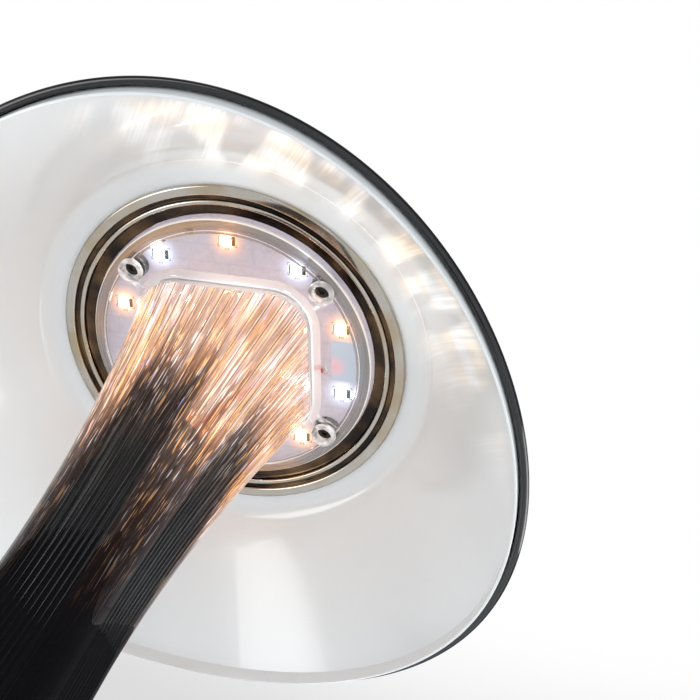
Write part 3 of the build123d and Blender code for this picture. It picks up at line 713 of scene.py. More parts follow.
@dataclass(frozen=True)
class SolderMask(Finish):
    """Board lacquer over copper tracks, which show as a faint relief."""

    colour: Colour
    track_width: float = 1.1
    relief: float = 0.25

    def tracks(self, wiring: Wiring) -> Socket:
        """Where tracks run under the lacquer, from 0 to 1.

        Args:
            wiring: the tree's wiring.

        Returns:
            The share of track.
        """
        x, y, z = wiring.apart(wiring.place())
        cells = wiring.add(
            "ShaderNodeTexBrick",
            {
                "Vector": wiring.together(x, y, 0.0),
                "Scale": 1.0,
                "Mortar Size": self.track_width * MM / 2,
                "Mortar Smooth": 0.4,
                "Brick Width": 0.0135,
                "Row Height": 0.0062,
                "Color1": (0.0, 0.0, 0.0, 1.0),
                "Color2": (0.0, 0.0, 0.0, 1.0),
                "Mortar": (1.0, 1.0, 1.0, 1.0),
            },
            offset=0.37,
        )
        return cells.outputs["Color"]

    def feeds(self, wiring: Wiring) -> Feeds:
        """Lacquer, tracks and gloss.

        Args:
            wiring: the tree's wiring.

        Returns:
            Values for the shader's inputs.
        """
        tracks = self.tracks(wiring)
        share = wiring.times(tracks, 0.35)
        return {
            "Base Color": wiring.mixed(share, self.colour, shaded(self.colour, 0.8)),
            "Roughness": wiring.varied(wiring.noise(300.0), 0.22, 0.34),
            "Normal": wiring.bump(tracks, self.relief, 0.0001),
        }


@dataclass(frozen=True)
class LampBoardMask(SolderMask):
    """White lacquer of the lamp board, with a painted glow round each lamp and a faint painted glow over the
    whole board.
    """

    circle: float = 39.5
    pitch_degrees: float = 36.0
    first_degrees: float = -90.0
    halo_start: float = 1.5
    halo: float = 9.5
    core_start: float = 2.2
    core: float = 4.2
    core_light: float = 1.0
    warm_halo: Colour = (1.0, 0.46, 0.19)
    cool_halo: Colour = (0.62, 0.74, 1.0)
    spill: Colour = (0.14, 0.125, 0.17)

    def nearest_lamp(self, wiring: Wiring) -> tuple[Socket, Socket]:
        """Distance to the nearest lamp in metres, and 1 where that lamp is a cool one.

        Args:
            wiring: the tree's wiring.

        Returns:
            The distance, and the share of cool light.
        """
        x, y, z = wiring.apart(wiring.place())
        first = math.radians(self.first_degrees)
        angle = wiring.minus(wiring.math("ARCTAN2", y, x), first)
        number = wiring.math("ROUND", wiring.over(angle, math.radians(self.pitch_degrees)))
        there = wiring.plus(wiring.times(number, math.radians(self.pitch_degrees)), first)
        radius = self.circle * MM
        lamp_x = wiring.times(wiring.math("COSINE", there), radius)
        lamp_y = wiring.times(wiring.math("SINE", there), radius)
        away = wiring.distance(wiring.minus(x, lamp_x), wiring.minus(y, lamp_y))
        return away, wiring.math("ABSOLUTE", wiring.math("MODULO", number, 2.0))

    def feeds(self, wiring: Wiring) -> Feeds:
        """Lacquer and the painted glow round each lamp.

        Args:
            wiring: the tree's wiring.

        Returns:
            Values for the shader's inputs.
        """
        distance, cool = self.nearest_lamp(wiring)
        near = wiring.math(
            "POWER", wiring.ramp(distance, self.halo_start * MM, self.halo * MM, 1.0, 0.0), 2.0
        )
        halo = wiring.mixed(cool, self.warm_halo, self.cool_halo)
        core = wiring.ramp(distance, self.core_start * MM, self.core * MM, self.core_light, 0.0)
        return {
            **super().feeds(wiring),
            # Painted light: a halo and bright core round each lamp, and a faint spill all over the board.
            "Emission Color": wiring.mixed(near, self.spill, halo),
            "Emission Strength": wiring.plus(core, 0.9),
        }


@dataclass(frozen=True)
class Phosphor(Finish):
    """Lit phosphor under a clear drop of resin; the lamp housings use it too, for painted glare."""

    colour: Colour
    glow: Colour
    strength: float

    def feeds(self, wiring: Wiring) -> Feeds:
        """The resin and its light.

        Args:
            wiring: the tree's wiring.

        Returns:
            Values for the shader's inputs.
        """
        grain = wiring.noise(2500.0)
        return {
            "Base Color": wiring.mixed(grain, self.colour, shaded(self.colour, 0.8)),
            "Roughness": 0.1,
            "Normal": wiring.bump(grain, 0.05, 0.0001),
            "Emission Color": opaque(self.glow),
            "Emission Strength": self.strength,
        }


@dataclass(frozen=True)
class Film(Finish):
    """Pale sticker over the board, with a painted pink glow near its inner side and a faint painted glow all
    over.
    """

    colour: Colour
    glow_tint: Colour
    glow_x: float
    glow_y: float
    glow_radius: float

    def feeds(self, wiring: Wiring) -> Feeds:
        """The film's painted glow and weave.

        Args:
            wiring: the tree's wiring.

        Returns:
            Values for the shader's inputs.
        """
        x, y, z = wiring.apart(wiring.place())
        away = wiring.distance(wiring.minus(x, self.glow_x * MM), wiring.minus(y, self.glow_y * MM))
        # Painted glow: pink near the inner side, in the colour and the emission.
        share = wiring.ramp(away, 0.0, self.glow_radius * MM, 0.9, 0.0)
        weave = wiring.noise(1400.0)
        return {
            "Base Color": wiring.mixed(share, self.colour, self.glow_tint),
            "Roughness": wiring.varied(weave, 0.45, 0.6),
            "Normal": wiring.bump(weave, 0.08, 0.0001),
            "Emission Color": wiring.mixed(share, self.colour, self.glow_tint),
            "Emission Strength": 0.24,
        }


@dataclass(frozen=True)
class StemShape:
    """Sizes of the stem that its mesh and its finishes share."""

    bottom: float = 13.0
    top: float = 362.4
    waist: float = 228.0
    half_top: float = 29.6
    half_waist: float = 16.2
    half_foot: float = 26.0
    power: float = 1.7
    ratio: float = 0.93
    corner: float = 0.48
    flutes: int = 9

    def half(self, height: float) -> float:
        """Half of the stem's width in X at a height.

        Args:
            height: the height.

        Returns:
            The half width.
        """
        if height > self.waist:
            share = (height - self.waist) / (self.top - self.waist)
            return self.half_waist + (self.half_top - self.half_waist) * share**self.power
        share = (self.waist - height) / (self.waist - self.bottom)
        return self.half_waist + (self.half_foot - self.half_waist) * share**self.power


STEM = StemShape()


@dataclass(frozen=True)
class ClearAcrylic(Finish):
    """Polished acrylic: clear at the head, then amber, partly painted warm lamp light, and smoky further
    down.
    """

    head_height: float = STEM.top
    clear: Colour = (1.0, 0.985, 0.97)
    amber: Colour = (1.0, 0.86, 0.74)
    smoke: Colour = (0.55, 0.47, 0.43)
    roughness: float = 0.015
    lamp_tint: Colour = (0.95, 0.93, 0.92)

    def depth(self, wiring: Wiring) -> Socket:
        """How far below the head a point lies, in metres."""
        x, y, z = wiring.apart(wiring.place())
        return wiring.minus(self.head_height * MM, z)

    def surface(self, wiring: Wiring) -> Socket:
        """The clear surface, which lets through the rays that lamps send.

        Args:
            wiring: the tree's wiring.

        Returns:
            What the material shows.
        """
        path = wiring.add("ShaderNodeLightPath").outputs["Is Shadow Ray"]
        through = wiring.add("ShaderNodeBsdfTransparent", {"Color": opaque(self.lamp_tint)}).outputs[0]
        return wiring.add("ShaderNodeMixShader", {0: path, 1: super().surface(wiring), 2: through}).outputs[0]

    def feeds(self, wiring: Wiring) -> Feeds:
        """Tint and gloss.

        Args:
            wiring: the tree's wiring.

        Returns:
            Values for the shader's inputs.
        """
        depth = self.depth(wiring)
        # The amber band below the head is partly painted warm lamp light.
        upper = wiring.mixed(wiring.ramp(depth, 0.002, 0.02), self.clear, self.amber)
        tint = wiring.mixed(wiring.ramp(depth, 0.03, 0.12), upper, self.smoke)
        return {
            "Base Color": tint,
            "Transmission Weight": 1.0,
            "IOR": ACRYLIC_IOR,
            "Roughness": self.roughness,
            "Normal": wiring.bump(wiring.noise(160.0, detail=1.0), 0.04, 0.0003),
        }


@dataclass(frozen=True)
class FlutedFace(ClearAcrylic):
    """Outside of the stem: every flute carries its own painted streaks of the lamps' light down into the
    smoke, with painted shade along the seams.
    """

    clear: Colour = (0.96, 0.89, 0.80)
    amber: Colour = (0.62, 0.40, 0.20)
    brown: Colour = (0.26, 0.12, 0.06)
    black: Colour = (0.004, 0.004, 0.005)
    smoke_glow: Colour = (0.040, 0.015, 0.008)
    warm_streak: Colour = (1.0, 0.50, 0.18)
    white_streak: Colour = (1.0, 0.93, 0.93)
    violet: Colour = (0.66, 0.56, 1.0)
    darkening_start: float = 18.0
    darkening_end: float = 66.0
    light_end: float = 88.0
    corner_gain: float = 0.42
    sparseness: float = 0.7
    light: float = 0.95

    def half(self, wiring: Wiring, z: Socket) -> Socket:
        """Half of the stem's width in metres at a height.

        Args:
            wiring: the tree's wiring.
            z: the height in metres.

        Returns:
            The half width.
        """
        rise = wiring.over(wiring.minus(z, STEM.waist * MM), (STEM.top - STEM.waist) * MM)
        fall = wiring.over(wiring.minus(STEM.waist * MM, z), (STEM.waist - STEM.bottom) * MM)
        half = STEM.half_waist * MM
        for share, reach in ((rise, STEM.half_top), (fall, STEM.half_foot)):
            bent = wiring.math("POWER", wiring.math("MAXIMUM", share, 0.0), STEM.power)
            half = wiring.plus(half, wiring.times(bent, (reach - STEM.half_waist) * MM))
        return half

    def flute(self, wiring: Wiring) -> FlutePlace:
        """A random number for the flute at a point, the place across it, and how near a corner it is.

        Args:
            wiring: the tree's wiring.

        Returns:
            The three numbers.
        """
        x, y, z = wiring.apart(wiring.place())
        half = self.half(wiring, z)
        out_x = wiring.over(x, half)
        out_y = wiring.over(y, half)
        deep_y = wiring.over(wiring.math("ABSOLUTE", out_y), STEM.ratio)
        on_x = wiring.math("GREATER_THAN", wiring.math("ABSOLUTE", out_x), deep_y)
        across = wiring.add("ShaderNodeMix", {0: on_x, 2: out_x, 3: out_y}, data_type="FLOAT").outputs[0]
        outward = wiring.add("ShaderNodeMix", {0: on_x, 2: out_y, 3: out_x}, data_type="FLOAT").outputs[0]
        reach = wiring.minus(1.0 - STEM.corner, wiring.times(on_x, 1.0 - STEM.ratio))
        share = wiring.over(across, reach)
        number = wiring.times(wiring.plus(share, 1.0), STEM.flutes / 2)
        side = wiring.plus(wiring.times(on_x, 31.0), wiring.times(wiring.math("SIGN", outward), 57.0))
        label = wiring.plus(wiring.math("FLOOR", number), side)
        chance = wiring.add("ShaderNodeTexWhiteNoise", {"W": label}, noise_dimensions="1D").outputs["Value"]
        corner = wiring.ramp(wiring.math("ABSOLUTE", share), 0.55, 1.15)
        return chance, wiring.math("FRACT", number), corner

    def runs(self, wiring: Wiring, place: FlutePlace, fine: float, along: float) -> Socket:
        """Noise of its own in each flute, by features across the flute and per metre of height.

        Args:
            wiring: the tree's wiring.
            place: the point's place in its flute.
            fine: features across a flute.
            along: features per metre of height.

        Returns:
            The noise.
        """
        chance, phase, corner = place
        x, y, z = wiring.apart(wiring.place())
        offset = wiring.times(chance, 90.0)
        across = wiring.plus(wiring.times(phase, fine), offset)
        height = wiring.plus(wiring.times(z, along), wiring.times(chance, 61.0))
        return wiring.noise(1.0, wiring.together(across, height, 0.0), 2.0)

    def reached(self, wiring: Wiring, place: FlutePlace) -> Socket:
        """Depth below the head in metres, made less near the corners, which guide the light further."""
        spare = wiring.minus(1.0, wiring.times(place[2], self.corner_gain))
        return wiring.times(self.depth(wiring), spare)

    def darkness(self, wiring: Wiring, place: FlutePlace) -> Socket:
        """How dark the stem is, from 0 to 1: its smoke, with painted shade where the lamps' light gives out;
        it starts at another depth in each streak.

        Args:
            wiring: the tree's wiring.
            place: the point's place in its flute.

        Returns:
            The darkness.
        """
        depth = self.reached(wiring, place)
        even = wiring.ramp(depth, self.darkening_start * MM, self.darkening_end * MM)
        uneven = wiring.minus(self.runs(wiring, place, 2.6, 14.0), 0.5)
        broken = wiring.times(uneven, wiring.ramp(depth, 0.006, 0.030, 0.0, 1.7))
        return wiring.plus(even, broken, clamp=True)

    def from_seam(self, wiring: Wiring, place: FlutePlace) -> Socket:
        """How near a point is to the seam between two flutes, from 0 in the middle to 1 on it."""
        return wiring.math("ABSOLUTE", wiring.times(wiring.minus(place[1], 0.5), 2.0))

    def painted_flute_light(self, wiring: Wiring, place: FlutePlace, dark: Socket) -> Socket:
        """Colour of the painted light in the flutes: streaks, glints, bright seam lines and a faint glow,
        sparser where the stem is darker.

        Args:
            wiring: the tree's wiring.
            place: the point's place in its flute.
            dark: how dark the smoke is there.

        Returns:
            The colour.
        """
        depth = self.reached(wiring, place)
        fade = wiring.math("POWER", wiring.ramp(depth, 0.002, self.light_end * MM, 1.0, 0.0), 1.3)
        bands = wiring.ramp(self.runs(wiring, place, 1.0, 15.0), 0.50, 0.62, 0.0, 0.22)
        streaks = wiring.ramp(self.runs(wiring, place, 5.0, 20.0), 0.54, 0.62, 0.0, 0.6)
        glints = wiring.ramp(self.runs(wiring, place, 5.0, 85.0), 0.56, 0.63, 0.0, 2.6)
        deep = wiring.ramp(depth, 0.012, 0.040, 0.25, 1.0)
        seam = self.from_seam(wiring, place)
        # Painted highlights: thin bright lines near the seams between flutes.
        seam_highlights = wiring.times(
            wiring.ramp(seam, 0.70, 0.78, 0.0, 0.6), wiring.ramp(seam, 0.80, 0.86, 1.0, 0.0)
        )
        parts = wiring.plus(streaks, wiring.times(glints, deep))
        parts = wiring.plus(wiring.plus(bands, parts), seam_highlights)
        sparse = wiring.minus(parts, wiring.times(dark, self.sparseness))
        parts = wiring.math("MAXIMUM", sparse, 0.0)
        unshaded = wiring.ramp(seam, 0.86, 0.94, 1.0, 0.15)
        lit = wiring.times(wiring.times(parts, unshaded), fade)
        warmth = wiring.ramp(self.runs(wiring, place, 1.2, 26.0), 0.46, 0.62)
        hue = wiring.mixed(warmth, self.warm_streak, self.white_streak)
        split = wiring.ramp(self.runs(wiring, place, 3.0, 70.0), 0.60, 0.66)
        # Painted glow: a faint reddish glow in the smoke, fading with depth.
        smoke_glow = wiring.mixed(
            wiring.ramp(depth, 0.03, self.light_end * MM, 1.0, 0.0), (0.0, 0.0, 0.0), self.smoke_glow
        )
        return wiring.mixed(lit, smoke_glow, wiring.mixed(split, hue, self.violet))

    def feeds(self, wiring: Wiring) -> Feeds:
        """Smoke with painted shade, gloss and painted flute light.

        Args:
            wiring: the tree's wiring.

        Returns:
            Values for the shader's inputs.
        """
        place = self.flute(wiring)
        # Painted shade: dark lines along the seams between flutes.
        seam = wiring.ramp(self.from_seam(wiring, place), 0.84, 0.95, 0.0, 0.42)
        dark = wiring.plus(self.darkness(wiring, place), seam, clamp=True)
        # Painted warm light: amber streaks in some flutes just below the head.
        streaked = wiring.ramp(self.runs(wiring, place, 3.4, 15.0), 0.40, 0.56)
        shallow = wiring.mixed(
            wiring.times(streaked, wiring.ramp(self.depth(wiring), 0.003, 0.014)), self.clear, self.amber
        )
        upper = wiring.mixed(wiring.ramp(dark, 0.0, 0.4), shallow, self.brown)
        return {
            "Base Color": wiring.mixed(wiring.ramp(dark, 0.3, 0.85), upper, self.black),
            "Transmission Weight": wiring.ramp(dark, 0.8, 1.0, 1.0, 0.0),
            "IOR": ACRYLIC_IOR,
            "Specular IOR Level": 0.13,
            "Roughness": self.roughness,
            "Normal": wiring.bump(wiring.noise(160.0, detail=1.0), 0.05, 0.0003),
            "Emission Color": self.painted_flute_light(wiring, place, dark),
            "Emission Strength": self.light,
        }


@dataclass(frozen=True)
class SmokedLining(FlutedFace):
    """Inside face of the stem: the same smoke and painted shade, closed and black lower down, with a fainter
    copy of the painted flute light.
    """

    light: float = 0.3
    tint: Colour = (0.98, 0.84, 0.68)
    lamp_tint: Colour = (0.9, 0.86, 0.82)

    def feeds(self, wiring: Wiring) -> Feeds:
        """Smoke that ends black.

        Args:
            wiring: the tree's wiring.

        Returns:
            Values for the shader's inputs.
        """
        place = self.flute(wiring)
        dark = self.darkness(wiring, place)
        closed = wiring.ramp(dark, 0.25, 0.85)
        return {
            "Base Color": wiring.mixed(closed, self.tint, self.black),
            "Transmission Weight": wiring.minus(1.0, closed),
            "IOR": ACRYLIC_IOR,
            "Specular IOR Level": 0.1,
            "Roughness": 0.22,
            "Emission Color": self.painted_flute_light(wiring, place, dark),
            "Emission Strength": self.light,
        }


@dataclass(frozen=True)
class FrostedEdge(ClearAcrylic):
    """Turned edge of a clear boss, with a painted glow that stands in for the lamps' light it scatters."""

    glow: Colour = (1.0, 0.95, 0.93)
    light: float = 0.32
    grain: float = 420.0
    haze: float = 0.16
    lamp_tint: Colour = (0.9, 0.9, 0.9)

    def feeds(self, wiring: Wiring) -> Feeds:
        """Gloss, haze and painted glow.

        Args:
            wiring: the tree's wiring.

        Returns:
            Values for the shader's inputs.
        """
        cloud = wiring.noise(self.grain, detail=1.0)
        share = wiring.ramp(cloud, 0.35, 0.65)
        return {
            "Base Color": wiring.mixed(cloud, (0.80, 0.79, 0.79), (1.0, 1.0, 1.0)),
            "Transmission Weight": 0.7,
            "IOR": ACRYLIC_IOR,
            "Roughness": self.haze,
            "Emission Color": wiring.mixed(share, shaded(self.glow, 0.15), self.glow),
            "Emission Strength": self.light,
        }


@dataclass(frozen=True)
class TurnedBand(ClearAcrylic):
    """Outer band of the clear flange: a painted reflection of the metal ring between two painted highlight
    lines.
    """

    outer_line: float = 47.95
    inner_line: float = 44.4
    line_width: float = 0.3
    closed_from: float = 45.2
    closed_to: float = 46.6
    grey: Colour = (0.30, 0.285, 0.27)
    gold: Colour = (0.55, 0.34, 0.19)
    bright: Colour = (0.9, 0.86, 0.82)
    lamp_tint: Colour = (0.9, 0.9, 0.9)

    def feeds(self, wiring: Wiring) -> Feeds:
        """The band's painted reflection and its painted highlight lines.

        Args:
            wiring: the tree's wiring.

        Returns:
            Values for the shader's inputs.
        """
        x, y, z = wiring.apart(wiring.place())
        radius = wiring.distance(x, y)
        # Painted highlights: two thin bright rings.
        lines = 0.0
        for place in (self.outer_line, self.inner_line):
            away = wiring.math("ABSOLUTE", wiring.minus(radius, place * MM))
            lines = wiring.plus(
                lines, wiring.ramp(away, self.line_width * MM * 0.4, self.line_width * MM, 1.0, 0.0)
            )
        # Painted reflection of the metal ring: grey with gold patches.
        tone = wiring.mixed(wiring.ramp(wiring.noise(26.0, detail=1.0), 0.42, 0.62), self.grey, self.gold)
        return {
            "Base Color": wiring.mixed(lines, tone, self.bright),
            "Transmission Weight": wiring.ramp(
                radius, self.closed_from * MM, self.closed_to * MM, 0.85, 0.2
            ),
            "IOR": ACRYLIC_IOR,
            "Roughness": 0.08,
            "Emission Color": wiring.mixed(lines, shaded(self.grey, 0.2), self.bright),
            "Emission Strength": 0.3,
        }


GLOSS_BLACK = Lacquer("gloss_black_lacquer", "gloss_black", (0.012, 0.012, 0.014), 0.09, 0.03)
SATIN_BLACK = Moulded("satin_black_powder_coat", "satin_black", (0.02, 0.02, 0.022), 0.38, 0.22, 0.5)
GLOSS_WHITE = SpunEnamel("gloss_white_enamel", "gloss_white", (0.865, 0.895, 0.905), 0.16, 0.9, 0.08)
POLISHED = Metal(
    "polished_nickel", "polished", (0.46, 0.44, 0.40), 0.07, Lay.TURNED, 0.03, (0.40, 0.33, 0.23)
)
# Near-black metal for the ring's sunk faces: a painted dark reflection in the groove and recess.
DARK_RECESS_METAL = Metal(
    "black_nickel", "polished", (0.022, 0.019, 0.018), 0.08, Lay.TURNED, 0.03, (0.14, 0.085, 0.045)
)
CLEAR_ACRYLIC = ClearAcrylic("clear_acrylic", "clear_smoke")
FLUTED_FACE = FlutedFace("fluted_acrylic", "clear_smoke")
SMOKED_LINING = SmokedLining("smoked_lining", "clear_smoke")
FROSTED_EDGE = FrostedEdge("frosted_edge", "clear_smoke")
# The fillet's glow is painted light.
PAINTED_GLOW_FILLET = FrostedEdge(
    "guiding_fillet", "clear_smoke", glow=(1.0, 0.90, 0.86), light=0.2, grain=35.0, haze=0.06
)
TURNED_BAND = TurnedBand("turned_band", "clear_smoke")
CAST_PLATE = Metal("cast_plate", "cast_plate", (0.62, 0.63, 0.65), 0.4, Lay.CAST, 0.3)
BOARD_WHITE = LampBoardMask("white_solder_mask", "board_white", (0.66, 0.64, 0.72))
PRINT_BLACK = Moulded("board_print", "board_white", (0.09, 0.08, 0.10), 0.5, 0.05, 0.3)
WARM_PHOSPHOR = Phosphor("warm_phosphor", "warm_lamp", (1.0, 0.72, 0.30), (1.0, 0.72, 0.42), 18.0)
COOL_PHOSPHOR = Phosphor("cool_phosphor", "cool_lamp", (0.95, 0.93, 0.60), (0.88, 0.95, 1.0), 18.0)
# The lamp housings glow and take their lamp's tint: painted glare round the lit lenses.
WARM_GLARING_HOUSING = Phosphor("warm_lamp_ceramic", "warm_lamp", (0.88, 0.80, 0.66), (1.0, 0.66, 0.36), 2.6)
COOL_GLARING_HOUSING = Phosphor("cool_lamp_ceramic", "cool_lamp", (0.84, 0.88, 0.86), (0.88, 0.98, 1.0), 2.0)
# Painted light: the warm lamps' terminals are tinted orange-brown by their lamps' light; the cool lamps'
# terminals stay dark.
WARM_TERMINAL = Moulded("warm_lamp_terminal", "gold_pin", (0.34, 0.17, 0.045), 0.4, 0.1, 0.3)
COOL_TERMINAL = Moulded("cool_lamp_terminal", "gold_pin", (0.045, 0.05, 0.045), 0.4, 0.1, 0.3)
PALE_FILM = Film("pale_film", "pale_patch", (0.58, 0.70, 0.86), (1.0, 0.58, 0.66), 35.0, 2.0, 5.5)
SOLDER = Metal("solder", "nickel", (0.66, 0.65, 0.63), 0.25, Lay.CAST, 0.3)
PAD_GREY = Moulded("pad_silicone", "pad_grey", (0.55, 0.56, 0.58), 0.7, 0.2, 0.6)
BOARD_GREEN = SolderMask("green_solder_mask", "board_green", (0.03, 0.16, 0.08))
GOLD_PIN = Metal("gilt_pin", "gold_pin", (0.83, 0.64, 0.30), 0.2, Lay.DRAWN, 0.1)
SWITCH_BLACK = Moulded("switch_plastic", "switch_black", (0.03, 0.03, 0.03), 0.4, 0.1, 0.3)
SCREW_BLACK = Metal(
    "black_oxide", "screw_black", (0.035, 0.031, 0.028), 0.3, Lay.TURNED, 0.15, (0.07, 0.055, 0.04)
)
SCREW_STEEL = Metal("screw_steel", "nickel", (0.66, 0.64, 0.61), 0.25, Lay.TURNED, 0.15)
TUBE_BLACK = Moulded("tube_plastic", "tube_black", (0.010, 0.010, 0.011), 0.3, 0.12, 0.6)
SUPPORT_WHITE = Moulded("support_plastic", "support_white", (0.80, 0.80, 0.78), 0.45, 0.1, 0.6)
CELL_SLEEVE = Moulded("shrink_sleeve", "cell_sleeve", (0.04, 0.24, 0.34), 0.22, 0.06, 1.2)
NICKEL = Metal("nickel_strip", "nickel", (0.70, 0.69, 0.66), 0.25, Lay.DRAWN, 0.15)
WIRE_RED = Moulded("red_insulation", "wire_red", (0.75, 0.03, 0.02), 0.25, 0.05, 0.4)
WIRE_BLACK = Moulded("black_insulation", "wire_black", (0.015, 0.015, 0.015), 0.25, 0.05, 0.4)
ZINC = Metal("zinc_plate", "steel_weight", (0.50, 0.50, 0.52), 0.32, Lay.TURNED, 0.2, (0.42, 0.40, 0.38))
FOOT_RUBBER = Moulded("foot_rubber", "foot_rubber", (0.028, 0.028, 0.028), 0.75, 0.3, 0.5)
SOCKET_STEEL = Metal("socket_steel", "socket_steel", (0.66, 0.66, 0.67), 0.2, Lay.CAST, 0.1)
TONGUE_BLACK = Moulded("tongue_plastic", "tongue_black", (0.02, 0.02, 0.02), 0.35, 0.1, 0.3)
LIGHT_PIPE = Moulded("light_pipe_resin", "light_pipe", (0.86, 0.90, 0.86), 0.15, 0.05, 0.4)


# Geometry node trees


def set_inputs(modifier: bpy.types.Modifier, values: dict[str, object]) -> None:
    """Set a node modifier's inputs, found by name and set by identifier.

    Args:
        modifier: the node modifier.
        values: value of each input by name.
    """
    for item in modifier.node_group.interface.items_tree:
        if item.item_type == "SOCKET" and item.in_out == "INPUT" and item.name in values:
            modifier[item.identifier] = values[item.name]


def new_tree(name: str, inputs: dict[str, str]) -> tuple[Tree, Wiring, bpy.types.NodeOutputs]:
    """Make a geometry node tree.

    Args:
        name: the tree's name.
        inputs: kind of each named input.

    Returns:
        The tree, its wiring and what it is given.
    """
    tree = bpy.data.node_groups.new(name, "GeometryNodeTree")
    for label, kind in inputs.items():
        tree.interface.new_socket(name=label, in_out="INPUT", socket_type="NodeSocket" + kind)
    tree.interface.new_socket(name="Geometry", in_out="OUTPUT", socket_type="NodeSocketGeometry")
    wiring = Wiring(tree)
    return tree, wiring, wiring.add("NodeGroupInput").outputs


def end_tree(wiring: Wiring, geometry: Socket, finish: Socket) -> None:
    """Close a tree with Realize Instances and Set Material.

    Args:
        wiring: the tree's wiring.
        geometry: what the tree has made.
        finish: its material.
    """
    real = wiring.add("GeometryNodeRealizeInstances", {0: geometry}).outputs[0]
    dressed = wiring.add("GeometryNodeSetMaterial", {"Geometry": real, "Material": finish}).outputs[0]
    wiring.add("NodeGroupOutput", {0: dressed})


def wave_tree() -> Tree:
    """The tree that raises and lowers a turned skin in two waves round the axis.

    Returns:
        The tree.
    """
    kinds = {
        "Geometry": "Geometry",
        "Wave Height": "Float",
        "Wave Start": "Float",
        "Rim Radius": "Float",
        "Wave Power": "Float",
        "Finish": "Material",
    }
    tree, wiring, given = new_tree("shade_wave", kinds)
    x, y, z = wiring.apart(wiring.add("GeometryNodeInputPosition").outputs[0])
    radius = wiring.add("GeometryNodeInputNamedAttribute", {"Name": "wave_radius"}).outputs[0]
    start, rim = given["Wave Start"], given["Rim Radius"]
    share = wiring.over(wiring.minus(radius, start), wiring.minus(rim, start))
    rising = wiring.math("POWER", wiring.math("MAXIMUM", share, 0.0), given["Wave Power"])
    turn = wiring.math("COSINE", wiring.times(wiring.math("ARCTAN2", y, x), 2.0))
    height = wiring.times(wiring.times(rising, turn), given["Wave Height"])
    offset = wiring.together(0.0, 0.0, wiring.times(height, -1.0))
    moved = wiring.add("GeometryNodeSetPosition", {"Geometry": given["Geometry"], "Offset": offset})
    end_tree(wiring, moved.outputs[0], given["Finish"])
    return tree


class Layout(Enum):
    """How repeated parts are set out."""

    CIRCLE = "GeometryNodeMeshCircle"
    CORNERS = "GeometryNodeMeshGrid"


def repeat_tree(layout: Layout) -> Tree:
    """The tree that puts one part on every point of a circle or at the four corners of a rectangle.

    Args:
        layout: circle or corners.

    Returns:
        The tree.
    """
    kinds = {
        "Geometry": "Geometry",
        "Part": "Object",
        "Count": "Int",
        "Radius": "Float",
        "Size X": "Float",
        "Size Y": "Float",
        "First Turn": "Float",
        "Part Turn": "Float",
        "Seed": "Int",
        "Finish": "Material",
    }
    tree, wiring, given = new_tree("repeat_" + layout.name.lower(), kinds)
    if layout is Layout.CIRCLE:
        feeds = {"Vertices": given["Count"], "Radius": given["Radius"]}
    else:
        feeds = {
            "Size X": given["Size X"],
            "Size Y": given["Size Y"],
            "Vertices X": 2,
            "Vertices Y": 2,
        }
    points = wiring.add(layout.value, feeds).outputs[0]
    turn = wiring.together(0.0, 0.0, given["First Turn"])
    turned = wiring.add("GeometryNodeTransform", {"Geometry": points, "Rotation": turn}).outputs[0]
    part = wiring.add("GeometryNodeObjectInfo", {"Object": given["Part"]}).outputs["Geometry"]
    least = wiring.times(given["Part Turn"], -1.0)
    limits = {2: least, 3: given["Part Turn"], "Seed": given["Seed"]}
    chance = wiring.add("FunctionNodeRandomValue", limits, data_type="FLOAT")
    rotation = wiring.together(0.0, 0.0, chance.outputs[1])
    placed = wiring.add(
        "GeometryNodeInstanceOnPoints", {"Points": turned, "Instance": part, "Rotation": rotation}
    )
    end_tree(wiring, placed.outputs[0], given["Finish"])
    return tree


@dataclass
class Repeat:
    """One part repeated on a circle or at the corners of a rectangle."""

    layout: Layout
    count: int = 4
    radius: float = 0.0
    size_x: float = 0.0
    size_y: float = 0.0
    first_degrees: float = 0.0
    part_turn_degrees: float = 0.0
    seed: int = 3

    def place(self, name: str, part: Object, finish: Finish) -> Object:
        """Repeat a part, whose own place is the lamp's axis, and remove the single one.

        Args:
            name: the object's name.
            part: the part, as it stands on the lamp's axis; it is removed.
            finish: the finish of the result.

        Returns:
            All the copies as one object.
        """
        known = bpy.data.node_groups.get("repeat_" + self.layout.name.lower())
        made = in_scene(name, bpy.data.meshes.new(name))
        modifier = made.modifiers.new("repeat", "NODES")
        modifier.node_group = known or repeat_tree(self.layout)
        values = {
            "Part": part,
            "Count": self.count,
            "Radius": self.radius * MM,
            "Size X": self.size_x * MM,
            "Size Y": self.size_y * MM,
            "First Turn": math.radians(self.first_degrees),
            "Part Turn": math.radians(self.part_turn_degrees),
            "Seed": self.seed,
            "Finish": finish.material(),
        }
        set_inputs(modifier, values)
        settled(made)
        discard(part)
        return made


# Sub-assemblies


